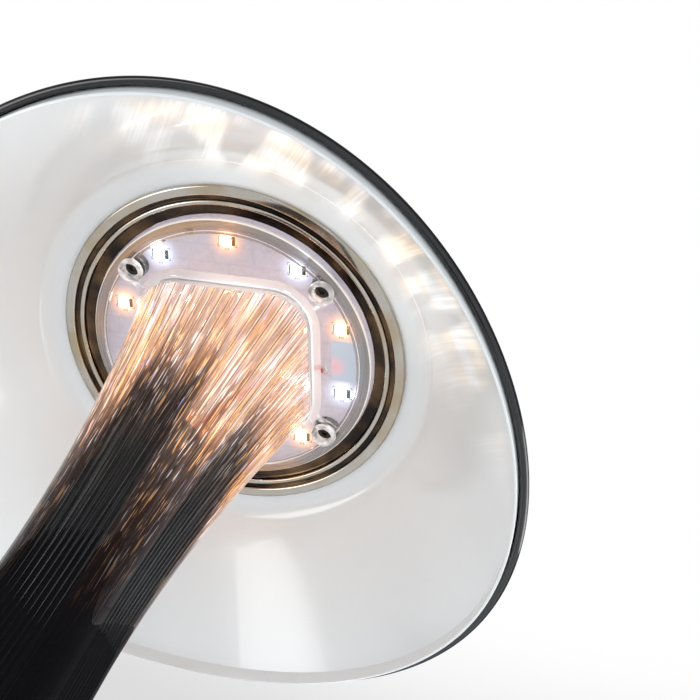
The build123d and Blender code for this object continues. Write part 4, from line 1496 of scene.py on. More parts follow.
@dataclass
class Shade:
    """Black outer shell and white reflector, both with a rim in two waves."""

    rim_height: float = 310.3
    rim_radius: float = 104.5
    rim_wave: float = 9.05
    wave_power: float = 1.5
    wave_start: float = 72.0
    lip_rise: float = 0.5
    lip_height: float = 4.2
    collar_height: float = 55.1
    collar_bore: float = 57.3
    collar_radius: float = 67.0
    collar_round: float = 6.0
    reflector_wall: float = 0.8
    skin_gap: float = 0.35
    shell_wall: float = 1.2
    bead_radius: float = 1.3
    crown_radius: float = 24.0
    crown_bore: float = 14.9
    segments: int = 288

    @property
    def lip_top(self) -> float:
        """Foot of the skirt above the mean rim."""
        return self.lip_rise + self.lip_height

    @property
    def slope(self) -> float:
        """Rise of the skirt over its run."""
        return (self.collar_height - self.lip_top) / (self.rim_radius - self.collar_radius)

    def skirt(self, radius: float, skin: float) -> Point:
        """Point of the unwaved skirt, moved outward from the reflector's face by a skin."""
        lift = skin / math.cos(math.atan(self.slope))
        return radius, self.lip_top + (self.rim_radius - radius) * self.slope + lift

    def skirt_line(self, first: float, last: float, skin: float, steps: int = 26) -> list[Point]:
        """Points of the skirt between two radii."""
        return [self.skirt(radius, skin) for radius in np.linspace(first, last, steps)]

    def waved(self, name: str, profile: list[Point], wave_radii: Sequence[float], finish: Finish) -> Object:
        """Turn a profile, store where each point reads the wave, and run the wave tree.

        Args:
            name: the object's name.
            profile: radius and height of each point.
            wave_radii: the radius at which each point reads the wave.
            finish: the finish of the result.

        Returns:
            The waved skin.
        """
        raised = [(radius, height + self.rim_height) for radius, height in profile]
        piece = lathe(name, raised, self.segments)
        radius_of = {}
        for (radius, height), wave_radius in zip(raised, wave_radii):
            radius_of[(round(radius, 2), round(height, 2))] = wave_radius
        keys = np.array(list(radius_of))
        values = np.array(list(radius_of.values()))
        places = np.array([vertex.co[:] for vertex in piece.data.vertices]) / MM
        flat = np.stack([np.hypot(places[:, 0], places[:, 1]), places[:, 2]], axis=1)
        nearest = np.array([int(np.argmin(((keys - spot) ** 2).sum(axis=1))) for spot in flat])
        attribute = piece.data.attributes.new("wave_radius", "FLOAT", "POINT")
        attribute.data.foreach_set("value", (values[nearest] * MM).astype(np.float32))
        modifier = piece.modifiers.new("wave", "NODES")
        modifier.node_group = bpy.data.node_groups.get("shade_wave") or wave_tree()
        sizes = {
            "Wave Height": self.rim_wave * MM,
            "Wave Start": self.wave_start * MM,
            "Rim Radius": self.rim_radius * MM,
            "Wave Power": self.wave_power,
            "Finish": finish.material(),
        }
        set_inputs(modifier, sizes)
        settled(piece)
        piece.data.attributes.remove(piece.data.attributes["wave_radius"])
        return piece

    def shell(self) -> Object:
        """The black shell: crown, dome, skirt and the round bead that closes over the lip.

        Returns:
            The shell.
        """
        angle = math.atan(self.slope)
        inner = self.reflector_wall + self.skin_gap
        outer = inner + self.shell_wall
        dome_radius = (self.wave_start - self.crown_radius) / math.sin(angle)
        crown = self.skirt(self.wave_start, outer)[1] + dome_radius * (1 - math.cos(angle))
        middle = (self.crown_radius, crown - dome_radius)
        bead_place = self.rim_radius + self.skin_gap + self.bead_radius
        shift = outer - self.bead_radius - (bead_place - self.rim_radius) * math.sin(angle)
        bead = (bead_place, self.lip_top + shift / math.cos(angle))
        profile = [(self.crown_bore, crown)]
        profile += arc(middle, dome_radius, 0, angle, 24)
        profile += self.skirt_line(
            self.wave_start + 1, bead_place + self.bead_radius * math.sin(angle) - 1, outer
        )
        profile += arc(bead, self.bead_radius, angle, 1.5 * math.pi, 18)
        profile += self.skirt_line(bead_place - self.bead_radius, self.wave_start + 1, inner)
        profile += arc(middle, dome_radius - self.shell_wall, angle, 0, 24)
        profile += [(self.crown_bore, crown - self.shell_wall)]
        bead_high = bead[1] + self.bead_radius * math.cos(angle) + 0.01
        bead_from = bead_place - self.bead_radius - 0.01
        radii = []
        for radius, height in profile:
            on_bead = height < bead_high and radius > bead_from
            radii.append(bead_place if on_bead else min(radius, bead_place))
        return self.waved("shade_outer_shell", profile, radii, GLOSS_BLACK)

    def reflector(self) -> Object:
        """The white reflector: flat collar, skirt and turned-down lip.

        Returns:
            The reflector.
        """
        angle = math.atan(self.slope)
        middle = (
            self.collar_radius - self.collar_round * math.tan(angle / 2),
            self.collar_height - self.collar_round,
        )
        lip_inner = self.rim_radius - self.reflector_wall
        top = self.collar_height + self.reflector_wall
        profile = [(self.collar_bore, self.collar_height)]
        profile += arc(middle, self.collar_round, 0, angle, 10)
        start = middle[0] + self.collar_round * math.sin(angle) + 1
        profile += self.skirt_line(start, lip_inner, 0)
        profile += [(lip_inner, self.lip_rise + 0.15), (lip_inner + 0.15, self.lip_rise)]
        profile += [(self.rim_radius - 0.15, self.lip_rise), (self.rim_radius, self.lip_rise + 0.15)]
        profile += self.skirt_line(self.rim_radius, start, self.reflector_wall)
        profile += arc(middle, self.collar_round + self.reflector_wall, angle, 0, 10)
        profile += [(self.collar_bore, top)]
        radii = [min(radius, self.rim_radius) for radius, height in profile]
        return self.waved("shade_white_reflector", profile, radii, GLOSS_WHITE)

    def build(self) -> list[Object]:
        """Make and hand over both skins.

        Returns:
            The pieces.
        """
        return [
            handed_over(self.shell(), [GLOSS_BLACK], stands_for=["shade_shell"]),
            handed_over(self.reflector(), [GLOSS_WHITE], stands_for=["shade_reflector"]),
        ]


@dataclass
class PolishedRing:
    """Stepped ring round the board: bright lip and ridge, dark groove and recess."""

    underside: float = 363.6
    top: float = 369.7
    seat_height: float = 367.3
    outer: float = 59.3
    bore: float = 48.5
    body: float = 57.0
    board_bore: float = 50.0
    lip: float = 1.5
    lip_width: float = 3.5
    groove_width: float = 1.7
    ridge_width: float = 1.6
    groove_depth: float = 1.6
    ridge_drop: float = 0.4
    recess_depth: float = 2.6

    def build(self) -> list[Object]:
        """Turn the ring and give its sunk faces a near-black finish, which paints the groove and recess dark.

        Returns:
            The pieces.
        """
        low = self.underside
        groove_outer = self.outer - self.lip_width
        ridge_outer = groove_outer - self.groove_width
        ridge_inner = ridge_outer - self.ridge_width
        corners = [
            (self.bore, low + self.recess_depth, 0.5),
            (ridge_inner, low + self.recess_depth, 0.9),
            (ridge_inner, low + self.ridge_drop, 0.6),
            (ridge_outer, low + self.ridge_drop, 0.6),
            (ridge_outer, low + self.groove_depth, 0.3),
            (groove_outer, low + self.groove_depth, 0.3),
            (groove_outer, low, 1.5),
            (self.outer, low, 1.6),
            (self.outer, low + self.lip, 0.2),
            (self.body, low + self.lip, 0.0),
            (self.body, self.top, 0.3),
            (self.board_bore, self.top, 0.3),
            (self.board_bore, self.seat_height, 0.0),
            (self.bore, self.seat_height, 0.3),
        ]
        ring = lathe("polished_bezel", rounded(corners, 8), 256)
        # Painted reflection: the sunk faces get the near-black metal, so the groove and recess stay dark.
        dark_above = low + self.ridge_drop + 0.75
        for face in ring.data.polygons:
            radius = math.hypot(face.center.x, face.center.y) / MM
            sunk = face.center.z / MM > dark_above and self.bore - 0.1 < radius < groove_outer + 0.05
            face.material_index = 1 if sunk and face.center.z / MM < low + self.recess_depth + 0.1 else 0
        return [handed_over(ring, [POLISHED, DARK_RECESS_METAL], stands_for=["bezel_ring"])]


class StemFace(Enum):
    """The stem's material slots."""

    CLEAR = 0
    LINING = 1
    FLUTES = 2
    BAND = 3
    BOSS = 4
    FILLET = 5


@dataclass
class FlutedStem:
    """Clear stem with flutes on its four sides, its flange, bosses and hollow."""

    shape: StemShape = STEM
    wall: float = 2.9
    flute_depth: float = 0.17
    flange_radius: float = 48.1
    flange_wall: float = 2.4
    fillet_wall: float = 1.9
    fillet_height: float = 5.0
    run_out: float = 6.0
    screw_x: float = 32.2
    screw_y: float = 27.0
    boss_radius: float = 4.2
    boss_top: float = 369.7
    boss_drop: float = 1.5
    head_seat: float = 365.0
    foot_flange_radius: float = 40.0
    foot_flange_wall: float = 3.0
    foot_screw_circle: float = 34.0
    band_width: float = 4.7
    groove_outer: float = 3.4
    groove_inner: float = 4.6
    groove_depth: float = 0.45
    edge_round: float = 1.3
    edge_bow: Point = (0.9, 0.25)
    chamfer: float = 0.3
    boss_round: float = 0.5
    screw_bore: float = 1.7
    head_bore: float = 2.8
    bore_mouth: float = 3.1
    lining_margin: float = 0.3
    outside_reach: float = 1.35
    flute_runs: int = 8
    corner_runs: int = 12
    levels: int = 96

    def sides(self) -> Iterator[tuple[bool, np.ndarray, np.ndarray]]:
        """For each of four sides: whether it faces along X, its outward direction and its run."""
        for number in range(4):
            angle = math.pi / 2 * number
            normal = np.array([math.cos(angle), math.sin(angle)])
            yield number % 2 == 0, normal, np.array([-math.sin(angle), math.cos(angle)])

    def fluted_outline(self, depth: float) -> np.ndarray:
        """Outline for a half width of one: four rows of hollow flutes, and round corners.

        Args:
            depth: depth of a flute over its width.

        Returns:
            The outline's points, anticlockwise.
        """
        points = []
        ratio, corner, flutes = self.shape.ratio, self.shape.corner, self.shape.flutes
        for on_x, normal, along in self.sides():
            distance, reach = (1.0, ratio - corner) if on_x else (ratio, 1.0 - corner)
            width = 2 * reach / flutes
            sag = width * depth
            bow = (width * width / 4 + sag * sag) / (2 * sag)
            swing = math.asin(width / 2 / bow)
            for flute in range(flutes):
                middle = normal * (distance + bow - sag) + along * ((flute + 0.5) * width - reach)
                for step in range(self.flute_runs):
                    turn = swing * (2 * step / self.flute_runs - 1)
                    points.append(middle - normal * bow * math.cos(turn) + along * bow * math.sin(turn))
            centre = normal * (distance - corner) + along * reach
            for step in range(self.corner_runs):
                turn = math.pi / 2 * step / self.corner_runs
                points.append(centre + corner * (normal * math.cos(turn) + along * math.sin(turn)))
        return np.array(points)

    def smooth_outline(self, width: float, depth: float, corner: float, steps: int = 10) -> np.ndarray:
        """Rounded rectangle with its sides divided as finely as its corners.

        Args:
            width: half of its width.
            depth: half of its depth.
            corner: radius of its corners.
            steps: runs in each side and corner.

        Returns:
            The outline's points, anticlockwise.
        """
        points = []
        for on_x, normal, along in self.sides():
            distance, reach = (width, depth - corner) if on_x else (depth, width - corner)
            for share in np.linspace(-1, 1, steps, endpoint=False):
                points.append(normal * distance + along * reach * share)
            centre = normal * (distance - corner) + along * reach
            for step in range(steps):
                turn = math.pi / 2 * step / steps
                points.append(centre + corner * (normal * math.cos(turn) + along * math.sin(turn)))
        return np.array(points)

    def stacked(self, name: str, layers: Sequence[tuple[float, np.ndarray]]) -> Object:
        """Close a stack of outlines, each at a height, into a solid.

        Args:
            name: the object's name.
            layers: height and outline of each layer.

        Returns:
            The solid.
        """
        rows = np.empty((len(layers), len(layers[0][1]), 3))
        for index, (height, outline) in enumerate(layers):
            rows[index, :, :2] = outline
            rows[index, :, 2] = height
        return woven(name, rows, wrap=False, caps=True)

    def heights(self) -> np.ndarray:
        """Heights of the outlines, closer together towards the head.

        Returns:
            The heights.
        """
        fine_from = self.shape.top - self.fillet_height - self.run_out
        shares = np.linspace(0, 1, self.levels, endpoint=False) ** 0.8
        coarse = self.shape.bottom + (fine_from - self.shape.bottom) * shares
        return np.concatenate([coarse, np.linspace(fine_from, self.shape.top, 16)])

    def hollow(self) -> Object:
        """The solid of the stem's hollow, a little longer than the stem.

        Returns:
            The solid.
        """
        layers = []
        for height in self.heights():
            half = self.shape.half(float(height))
            outline = self.smooth_outline(
                half - self.wall, half * self.shape.ratio - self.wall, half * self.shape.corner - self.wall
            )
            layers.append((float(height), outline))
        layers[0] = (self.shape.bottom - 1.0, layers[0][1])
        layers.append((self.shape.top + self.flange_wall + 1.0, layers[-1][1]))
        return self.stacked("hollow", layers)

    def fillet(self) -> Object:
        """The smooth fillet between the flutes and the flange.

        Returns:
            The solid.
        """
        layers = []
        for share in np.linspace(-0.05, 1, 12):
            height = self.shape.top - self.fillet_height * (1 - float(share))
            half = self.shape.half(height)
            proud = self.fillet_wall * (1 - math.cos(math.pi / 2 * float(share))) if share > 0 else -0.2
            outline = self.smooth_outline(
                half + proud, half * self.shape.ratio + proud, half * self.shape.corner + proud
            )
            layers.append((height, outline))
        layers.append((self.shape.top + 0.5, layers[-1][1]))
        return self.stacked("fillet", layers)

    def solid(self) -> Object:
        """The whole clear moulding, as one closed shape.

        Returns:
            The moulding.
        """
        layers = []
        for height in self.heights():
            spare = (self.shape.top - self.fillet_height - float(height)) / self.run_out
            depth = self.flute_depth * min(1.0, max(0.04, spare))
            layers.append((float(height), self.fluted_outline(depth) * self.shape.half(float(height))))
        layers.append((self.shape.top + 0.5, layers[-1][1]))
        body = self.stacked("clear_fluted_stem", layers)
        carve(body, self.fillet(), Cut.ADD)
        rim, low, high = self.flange_radius, self.shape.top, self.shape.top + self.flange_wall
        disc = [
            (0.0, high),
            (rim - self.chamfer, high),
            (rim, high - self.chamfer),
            (rim, low + self.edge_round),
            (rim - self.edge_bow[0], low + self.edge_bow[1]),
            (rim - self.edge_round, low),
            (rim - self.groove_outer, low),
            (rim - self.groove_outer - self.chamfer, low + self.groove_depth),
            (rim - self.groove_inner + self.chamfer, low + self.groove_depth),
            (rim - self.groove_inner, low),
            (0.0, low),
        ]
        carve(body, lathe("flange", disc, 192), Cut.ADD)
        bottom, foot_top = self.shape.bottom, self.shape.bottom + self.foot_flange_wall
        foot_rim = self.foot_flange_radius
        foot = [(0.0, foot_top), (foot_rim, foot_top), (foot_rim, bottom), (0.0, bottom)]
        carve(body, lathe("foot_flange", foot, 128), Cut.ADD)
        places = [(x * self.screw_x, y * self.screw_y) for x in (-1, 1) for y in (-1, 1)]
        radius, mouth = self.boss_radius, self.shape.top - self.boss_drop
        bow = 0.3 * self.boss_round
        boss = [(0.0, self.boss_top), (radius, self.boss_top), (radius, mouth + self.boss_round)]
        boss += [(radius - bow, mouth + bow), (radius - self.boss_round, mouth), (0.0, mouth)]
        carve(body, joined("bosses", [lathe("boss", boss, 48, at) for at in places]), Cut.ADD)
        carve(body, self.hollow(), Cut.TAKE)
        bore = [
            (0.0, self.boss_top + 1),
            (self.screw_bore, self.boss_top + 1),
            (self.screw_bore, self.head_seat),
        ]
        bore += [(self.head_bore, self.head_seat), (self.head_bore, mouth + 0.2)]
        bore += [(self.bore_mouth, mouth - 0.4), (0.0, mouth - 0.4)]
        carve(body, joined("bores", [lathe("bore", bore, 48, at) for at in places]), Cut.TAKE)
        circle = self.foot_screw_circle
        holes = [(circle, 0.0), (-circle, 0.0), (0.0, circle), (0.0, -circle)]
        hole = [
            (0.0, bottom + 4),
            (self.screw_bore, bottom + 4),
            (self.screw_bore, bottom - 1),
            (0.0, bottom - 1),
        ]
        carve(body, joined("holes", [lathe("hole", hole, 32, at) for at in holes]), Cut.TAKE)
        return body

    def face_at(self, x: float, y: float, z: float, level: bool) -> StemFace:
        """Which part of the stem a face belongs to, by its middle and whether it lies level.

        Args:
            x: X of the face's middle.
            y: Y of its middle.
            z: height of its middle.
            level: whether it lies level.

        Returns:
            The slot of that part.
        """
        top = self.shape.top
        from_screw = math.hypot(abs(x) - self.screw_x, abs(y) - self.screw_y)
        if z < self.head_seat and self.head_bore - 0.05 < from_screw < self.boss_radius + 0.05:
            return StemFace.BOSS
        if z > top - 0.5 and math.hypot(x, y) > self.flange_radius - self.band_width:
            return StemFace.BAND
        if z > top - 0.05 or level:
            return StemFace.CLEAR
        half = self.shape.half(z)
        corner = half * self.shape.corner - self.wall
        out_x = abs(x) - (half - self.wall - corner)
        out_y = abs(y) - (half * self.shape.ratio - self.wall - corner)
        away = math.hypot(max(out_x, 0.0), max(out_y, 0.0)) + min(max(out_x, out_y), 0.0) - corner
        if abs(away) < self.lining_margin:
            return StemFace.LINING
        if away > self.lining_margin and math.hypot(x, y) < self.outside_reach * half:
            return StemFace.FLUTES if z < top - self.fillet_height + 0.4 else StemFace.FILLET
        return StemFace.CLEAR

    def mark_faces(self, piece: Object) -> None:
        """Give the hollow, flutes, fillet, bosses and the flange's edge their material slots.

        Args:
            piece: the moulding.
        """
        for face in piece.data.polygons:
            x, y, z = (part / MM for part in face.center)
            face.material_index = self.face_at(x, y, z, abs(face.normal.z) > 0.97).value

    def build(self) -> list[Object]:
        """Make the moulding and hand it over.

        Returns:
            The pieces.
        """
        piece = self.solid()
        finishes = [CLEAR_ACRYLIC, SMOKED_LINING, FLUTED_FACE, TURNED_BAND, FROSTED_EDGE, PAINTED_GLOW_FILLET]
        piece.data.materials.clear()
        for finish in finishes:
            piece.data.materials.append(finish.material())
        self.mark_faces(piece)
        piece.data.shade_smooth()
        piece.data.set_sharp_from_angle(angle=SMOOTH_UP_TO)
        return [handed_over(piece, finishes, stands_for=["fluted_stem"])]


@dataclass
class Screw:
    """A socket screw with a domed head below and a shank above."""

    head_radius: float = 2.5
    head_height: float = 1.7
    shank_radius: float = 1.4
    shank_length: float = 8.0
    socket_radius: float = 1.2
    socket_depth: float = 0.9
    bottom: float = 363.3
    thread_pitch: float = 0.7
    around: int = 36

    def part(self, name: str, shank: bool) -> Object:
        """One screw's head or its shank, on the lamp's axis.

        Args:
            name: the object's name.
            shank: make the shank, not the head.

        Returns:
            The part.
        """
        dome = 0.45
        rings = [
            (0.001, self.socket_depth + 0.25, False), (self.socket_radius * 0.98, self.socket_depth, True)
        ]
        rings += [(self.socket_radius, 0.08, True), (self.socket_radius * 1.1, 0.0, True)]
        rings += [(self.head_radius * 0.72, 0.05, False), (self.head_radius * 0.9, 0.2, False)]
        rings += [(self.head_radius, dome, False), (self.head_radius, self.head_height - 0.1, False)]
        rings += [(self.head_radius - 0.1, self.head_height, False), (0.001, self.head_height, False)]
        if shank:
            rings = [(0.001, self.head_height, False), (self.shank_radius, self.head_height, False)]
        turns = int(self.shank_length / self.thread_pitch) if shank else 0
        for turn in range(1, turns):
            height = self.head_height + turn * self.thread_pitch
            rings.append((self.shank_radius, height - 0.2, False))
            rings.append((self.shank_radius - 0.14, height, False))
            rings.append((self.shank_radius, height + 0.2, False))
        if shank:
            end = self.head_height + self.shank_length
            rings += [(self.shank_radius * 0.8, end, False), (0.001, end, False)]
        rows = np.empty((len(rings), self.around, 3))
        for index, (radius, height, six_sided) in enumerate(rings):
            for place in range(self.around):
                turn = 2 * math.pi * place / self.around
                reach = radius
                if six_sided:
                    reach = radius * math.cos(math.pi / 6) / math.cos((turn % (math.pi / 3)) - math.pi / 6)
                rows[index, place] = (reach * math.cos(turn), reach * math.sin(turn), self.bottom + height)
        return woven(name, rows, wrap=False, caps=True)


@dataclass
class Screws:
    """The three sets of socket screws."""

    head: Screw
    foot: Screw
    cover: Screw

    def build(self) -> list[Object]:
        """Make and hand over each set.

        Returns:
            The pieces.
        """
        corners = Repeat(Layout.CORNERS, size_x=64.4, size_y=54.0, part_turn_degrees=28.0, seed=5)
        ring = Repeat(Layout.CIRCLE, radius=34.0, part_turn_degrees=28.0, seed=8)
        outer = Repeat(Layout.CIRCLE, radius=46.5, first_degrees=45.0, part_turn_degrees=28.0, seed=11)
        sets = [
            ("head_socket_screws", self.head, corners, "flange_screws"),
            ("foot_socket_screws", self.foot, ring, "stem_screws"),
            ("cover_socket_screws", self.cover, outer, "cover_screws"),
        ]
        made = []
        for name, screw, repeat, node in sets:
            heads = repeat.place(name, screw.part("head", False), SCREW_BLACK)
            made.append(handed_over(heads, [SCREW_BLACK], stands_for=[node]))
            shanks = repeat.place(name + "_shanks", screw.part("shank", True), SCREW_STEEL)
            made.append(handed_over(shanks, [SCREW_STEEL]))
        return made


class Tone(Enum):
    """The two lamp colours, by the direction of the first of five lamps in degrees."""

    WARM = -90.0
    COOL = -54.0


@dataclass
class LampBoard:
    """Lamps, their print, solder joints and the gauge ring under the white board."""

    underside: float = 367.6
    circle: float = 39.5
    length: float = 5.4
    width: float = 3.2
    height: float = 0.8
    body_length: float = 3.8
    body_shift: float = -0.3
    lens_length: float = 3.6
    lens_proud: float = 0.1
    print_wall: float = 0.03
    gauge_circle: float = 43.4
    gauge_degrees: float = -107.0
    gauge_hole: float = 1.75
    pad_x: float = 31.4
    pad_y: float = 4.3

    def set_of(self, tone: Tone) -> list[Object]:
        """Five lamps of one tone: housings, terminals and lit lenses.

        Args:
            tone: warm or cool.

        Returns:
            The pieces.
        """
        label = tone.name.lower()
        ring = Repeat(
            Layout.CIRCLE, count=5, radius=self.circle, first_degrees=tone.value, part_turn_degrees=1.2
        )
        body_height = self.height - self.lens_proud
        middle = self.underside - body_height / 2
        body = block(
            "body", (self.body_length, self.width, body_height), (self.body_shift, 0, middle), 0.12
        )
        ends = []
        end_width, end_height = self.width * 0.94, self.height * 0.7
        for side, run in ((-1, 0.75), (1, 1.25)):
            place = (side * (self.length - run) / 2, 0, self.underside - end_height / 2)
            ends.append(block("end", (run, end_width, end_height), place, 0.08))
        low = self.underside - self.height
        lens = block(
            "lens", (self.lens_length, self.width * 0.96, 0.3), (self.body_shift, 0, low + 0.15), 0.1
        )
        warm = tone is Tone.WARM
        ceramic = WARM_GLARING_HOUSING if warm else COOL_GLARING_HOUSING
        metal = WARM_TERMINAL if warm else COOL_TERMINAL
        glow = WARM_PHOSPHOR if warm else COOL_PHOSPHOR
        node = label + "_leds"
        return [
            handed_over(ring.place(label + "_lamp_housings", body, ceramic), [ceramic], stands_for=[node]),
            handed_over(ring.place(label + "_lamp_terminals", joined("ends", ends), metal), [metal]),
            handed_over(ring.place(label + "_lamp_lenses", lens, glow), [glow]),
        ]

    def prints(self) -> Object:
        """Black print beside every lamp: brackets at its corners and a few ticks.

        Returns:
            The print.
        """
        wall = self.print_wall
        level = self.underside - wall / 2
        reach_x, reach_y = self.length / 2 + 0.55, self.width / 2 + 0.55
        marks = []
        for x in (-1, 1):
            for y in (-1, 1):
                marks.append(((0.9, 0.17, wall), (x * (reach_x - 0.45), y * reach_y, level)))
                marks.append(((0.17, 0.8, wall), (x * reach_x, y * (reach_y - 0.4), level)))
        for tick in range(3):
            marks.append(((0.24, 0.8, wall), (-0.8 + 0.6 * tick, reach_y + 1.0, level)))
        strips = [block("strip", size, middle, 0.005) for size, middle in marks]
        ring = Repeat(Layout.CIRCLE, count=10, radius=self.circle, first_degrees=-90.0)
        return ring.place("board_print", joined("strips", strips), PRINT_BLACK)

    def solder(self) -> Object:
        """Solder joints at the ends of the two leads.

        Returns:
            The joints.
        """
        drop = 0.55
        profile = [(0.0, self.underside), (1.5, self.underside), (1.25, self.underside - 0.2)]
        profile += [
            (0.8, self.underside - drop * 0.8), (0.3, self.underside - drop), (0.0, self.underside - drop)
        ]
        places = [(self.pad_x, self.pad_y), (-self.pad_x, self.pad_y)]
        return joined("lead_solder", [lathe("joint", profile, 32, at) for at in places])

    def gauge(self) -> Object:
        """Thin gilt ring round the gauge hole.

        Returns:
            The ring.
        """
        angle = math.radians(self.gauge_degrees)
        at = (self.gauge_circle * math.cos(angle), self.gauge_circle * math.sin(angle))
        low = self.underside - 0.06
        inner, outer, high = self.gauge_hole, self.gauge_hole + 0.35, self.underside
        corners = [(inner, low, 0.02), (outer, low, 0.02), (outer, high, 0.0), (inner, high, 0.0)]
        return lathe("gauge_ring", rounded(corners), 48, at)

    def build(self) -> list[Object]:
        """Make and hand over everything under the board.

        Returns:
            The pieces.
        """
        made = self.set_of(Tone.WARM) + self.set_of(Tone.COOL)
        made.append(handed_over(self.prints(), [PRINT_BLACK]))
        made.append(handed_over(self.solder(), [SOLDER]))
        made.append(handed_over(self.gauge(), [GOLD_PIN]))
        return made


@dataclass
class Foot:
    """Rubber ring that the lamp stands on; the rest of the foot keeps its CAD shape."""

    inner: float = 44.0
    outer: float = 50.0
    height: float = 2.6
    rib_count: int = 4
    rib_depth: float = 0.35

    def build(self) -> list[Object]:
        """Turn the ribbed ring and hand it over.

        Returns:
            The pieces.
        """
        pitch = (self.outer - self.inner) / self.rib_count
        corners = [(self.inner, self.height, 0.1)]
        for rib in range(self.rib_count):
            start, end = self.inner + rib * pitch, self.inner + (rib + 1) * pitch
            corners.append((start, self.rib_depth, 0.12))
            corners += [(start + self.rib_depth, 0.0, 0.2), (end - self.rib_depth, 0.0, 0.2)]
        corners += [(self.outer, self.rib_depth, 0.12), (self.outer, self.height, 0.1)]
        ring = lathe("ribbed_foot_ring", rounded(corners, 4), 160)
        return [handed_over(ring, [FOOT_RUBBER], stands_for=["foot_ring"])]


KEPT_NODES: dict[Finish, tuple[str, ...]] = {
    GLOSS_BLACK: ("button_ring",),
    POLISHED: ("button_cap",),
    SATIN_BLACK: ("base_housing",),
    TUBE_BLACK: ("base_cover", "battery_tube", "tube_cap"),
    CAST_PLATE: ("head_core",),
    BOARD_WHITE: ("led_board",),
    PALE_FILM: ("board_patch",),
    PAD_GREY: ("thermal_pad",),
    GOLD_PIN: ("board_pins",),
    BOARD_GREEN: ("control_board", "cell_board", "contact_board", "charge_board"),
    SWITCH_BLACK: ("tact_switch", "switch_plunger"),
    SUPPORT_WHITE: ("cell_support",),
    CELL_SLEEVE: ("lower_cell", "upper_cell"),
    NICKEL: ("link_plate", "return_strip"),
    WIRE_RED: ("red_wire", "charge_lead_red"),
    WIRE_BLACK: ("black_wire", "charge_lead_black"),
    ZINC: ("base_weight",),
    SOCKET_STEEL: ("usb_socket",),
    TONGUE_BLACK: ("usb_tongue",),
    LIGHT_PIPE: ("charge_light",),
}


def dress_kept_nodes(nodes: dict[str, Object]) -> None:
    """Give every CAD node that stays its own finish.

    Args:
        nodes: every CAD object by its node's name.
    """
    for finish, names in KEPT_NODES.items():
        for name in names:
            for slot in nodes[name].material_slots:
                slot.material = finish.material()
            log.info("%s: kept, %s", name, finish.name)


# Studio


@dataclass
class Panel:
    """A soft light, with its place, its aim and its side in metres, and its power in watts."""

    name: str
    place: tuple[float, float, float]
    aim: tuple[float, float, float]
    side: float
    power: float
    colour: Colour = (1.0, 1.0, 1.0)

    def build(self) -> None:
        """Put the light in the scene, unseen by the camera."""
        data = bpy.data.lights.new(self.name, "AREA")
        data.shape = "SQUARE"
        data.size = self.side
        data.energy = self.power
        data.color = self.colour
        lamp = in_scene(self.name, data)
        lamp.location = self.place
        lamp.rotation_euler = (Vector(self.aim) - Vector(self.place)).to_track_quat("-Z", "Y").to_euler()
        lamp.visible_camera = False
        lamp.visible_transmission = False


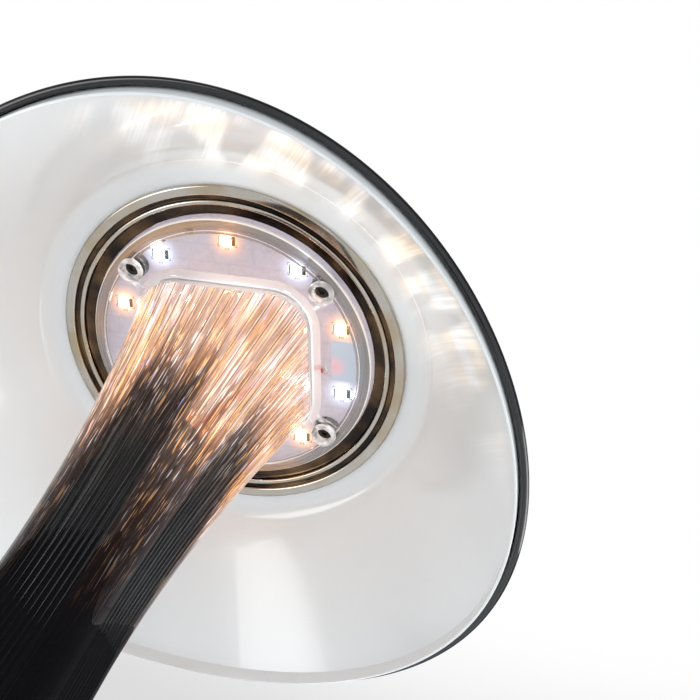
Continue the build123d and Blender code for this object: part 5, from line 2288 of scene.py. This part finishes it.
@dataclass
class Studio:
    """Camera, pale floor, white background and soft lights; the floor's and the card's sizes are metres."""

    camera_place: tuple[float, float, float] = (133.6, -221.5, 16.3)
    camera_target: tuple[float, float, float] = (41.08, -6.67, 363.6)
    camera_roll_degrees: float = 27.118
    focal_pixels: float = 1300.0
    frame_pixels: float = 700.0
    sensor: float = 36.0
    horizon_low: float = 0.62
    horizon_high: float = 0.74
    floor_radius: float = 2.6
    floor_drop: float = 0.0002
    floor_dark: Colour = (0.84, 0.84, 0.84)
    floor_light: Colour = (0.88, 0.88, 0.88)
    card_corners: tuple[Point, ...] = ((-0.80, -2.4), (-0.29, -2.4), (-0.195, 0.02), (-0.62, 0.02))
    card_height: float = 0.0006
    card_fade: Point = (-0.70, -0.42)
    card_strength: float = 4.8
    skylight: float = 0.965
    mirrored_sky: float = 0.15

    def camera(self) -> None:
        """The camera that sees what the photograph shows."""
        data = bpy.data.cameras.new("camera")
        data.sensor_width = self.sensor
        data.lens = self.focal_pixels / self.frame_pixels * self.sensor
        data.clip_start = 0.01
        data.clip_end = 50.0
        camera = in_scene("camera", data)
        place, target = Vector(self.camera_place) * MM, Vector(self.camera_target) * MM
        aim = (target - place).to_track_quat("-Z", "Y").to_matrix()
        turned = aim @ Matrix.Rotation(math.radians(self.camera_roll_degrees), 3, "Z")
        camera.matrix_world = Matrix.Translation(place) @ turned.to_4x4()
        bpy.context.scene.camera = camera

    def floor(self) -> None:
        """A large pale table top under the foot."""
        work = bmesh.new()
        bmesh.ops.create_circle(work, cap_ends=True, radius=self.floor_radius, segments=96)
        floor = in_scene("floor", meshed("floor", work))
        floor.location.z = -self.floor_drop
        material, wiring = blank_material("pale_table")
        feeds = {
            "Base Color": wiring.mixed(wiring.noise(6.0), self.floor_dark, self.floor_light),
            "Roughness": 0.7,
            "Specular IOR Level": 0.0,
        }
        shown = wiring.add("ShaderNodeBsdfPrincipled", feeds).outputs[0]
        wiring.add("ShaderNodeOutputMaterial", {"Surface": shown})
        floor.data.materials.append(material)

    def card(self) -> None:
        """A bright sheet beside the lamp that only glossy faces mirror."""
        mesh = bpy.data.meshes.new("bright_card")
        mesh.from_pydata([(x, y, self.card_height) for x, y in self.card_corners], [], [(0, 1, 2, 3)])
        card = in_scene("bright_card", mesh)
        material, wiring = blank_material("bright_card")
        x, y, z = wiring.apart(wiring.place())
        fade = wiring.ramp(x, *self.card_fade)
        tone = wiring.mixed(fade, (0.0, 0.0, 0.0), (1.0, 1.0, 1.0))
        glow = wiring.add("ShaderNodeEmission", {"Color": tone, "Strength": self.card_strength}).outputs[0]
        wiring.add("ShaderNodeOutputMaterial", {"Surface": glow})
        mesh.materials.append(material)
        for kind in ("camera", "diffuse", "transmission", "volume_scatter", "shadow"):
            setattr(card, "visible_" + kind, False)

    def world(self) -> None:
        """White for the camera and through the clear stem, soft grey as light."""
        world = bpy.data.worlds.new("studio")
        bpy.context.scene.world = world
        world.use_nodes = True
        world.node_tree.nodes.clear()
        wiring = Wiring(world.node_tree)
        path = wiring.add("ShaderNodeLightPath").outputs
        seen = wiring.math("MAXIMUM", path["Is Camera Ray"], path["Is Transmission Ray"])
        light = wiring.add(
            "ShaderNodeBackground", {"Color": (0.95, 0.97, 1.0, 1.0), "Strength": self.skylight}
        ).outputs[0]
        gloss = wiring.add(
            "ShaderNodeBackground", {"Color": (0.97, 0.98, 1.0, 1.0), "Strength": self.mirrored_sky}
        ).outputs[0]
        x, y, z = wiring.apart(wiring.add("ShaderNodeTexCoord").outputs["Generated"])
        height = wiring.ramp(z, self.horizon_low, self.horizon_high)
        backdrop = wiring.mixed(height, (0.72, 0.72, 0.72), (1.0, 1.0, 1.0))
        white = wiring.add("ShaderNodeBackground", {"Color": backdrop, "Strength": 1.0}).outputs[0]
        mirrored = wiring.add(
            "ShaderNodeMixShader", {0: path["Is Glossy Ray"], 1: light, 2: gloss}
        ).outputs[0]
        shown = wiring.add("ShaderNodeMixShader", {0: seen, 1: mirrored, 2: white}).outputs[0]
        wiring.add("ShaderNodeOutputWorld", {"Surface": shown})

    def build(self) -> None:
        """Set up everything round the lamp."""
        self.camera()
        self.floor()
        self.card()
        self.world()
        Panel("left_light", (-0.9, -0.5, 0.35), (0.0, 0.0, 0.30), 0.7, 0.3).build()
        Panel("right_light", (0.8, 0.45, 0.28), (0.0, 0.0, 0.32), 0.6, 5.5).build()
        Panel("top_light", (-0.3, -0.3, 1.5), (0.0, 0.0, 0.1), 1.2, 3.0).build()
        scene = bpy.context.scene
        scene.view_settings.view_transform = "Standard"
        scene.cycles.max_bounces = 14
        scene.cycles.transmission_bounces = 14
        scene.cycles.transparent_max_bounces = 12
        scene.cycles.sample_clamp_indirect = 12.0


def main() -> None:
    """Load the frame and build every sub-assembly in order."""
    logging.basicConfig(level=logging.INFO, format="%(name)s: %(message)s")
    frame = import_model()
    Studio().build()
    head_screw = Screw()
    foot_screw = Screw(bottom=11.3, shank_length=5.8)
    cover_screw = Screw(head_radius=2.4, head_height=1.5, shank_radius=1.15, shank_length=7.9, bottom=2.6)
    groups = [
        Shade(),
        PolishedRing(),
        LampBoard(),
        FlutedStem(),
        Screws(head_screw, foot_screw, cover_screw),
        Foot(),
    ]
    count = 0
    for group in groups:
        made = group.build()
        count += len(made)
        log.info("%s: %d pieces", type(group).__name__, len(made))
    dress_kept_nodes(frame["nodes"])
    log.info("%d new pieces, %d kept nodes", count, sum(map(len, KEPT_NODES.values())))


if __name__ == "__main__":
    main()
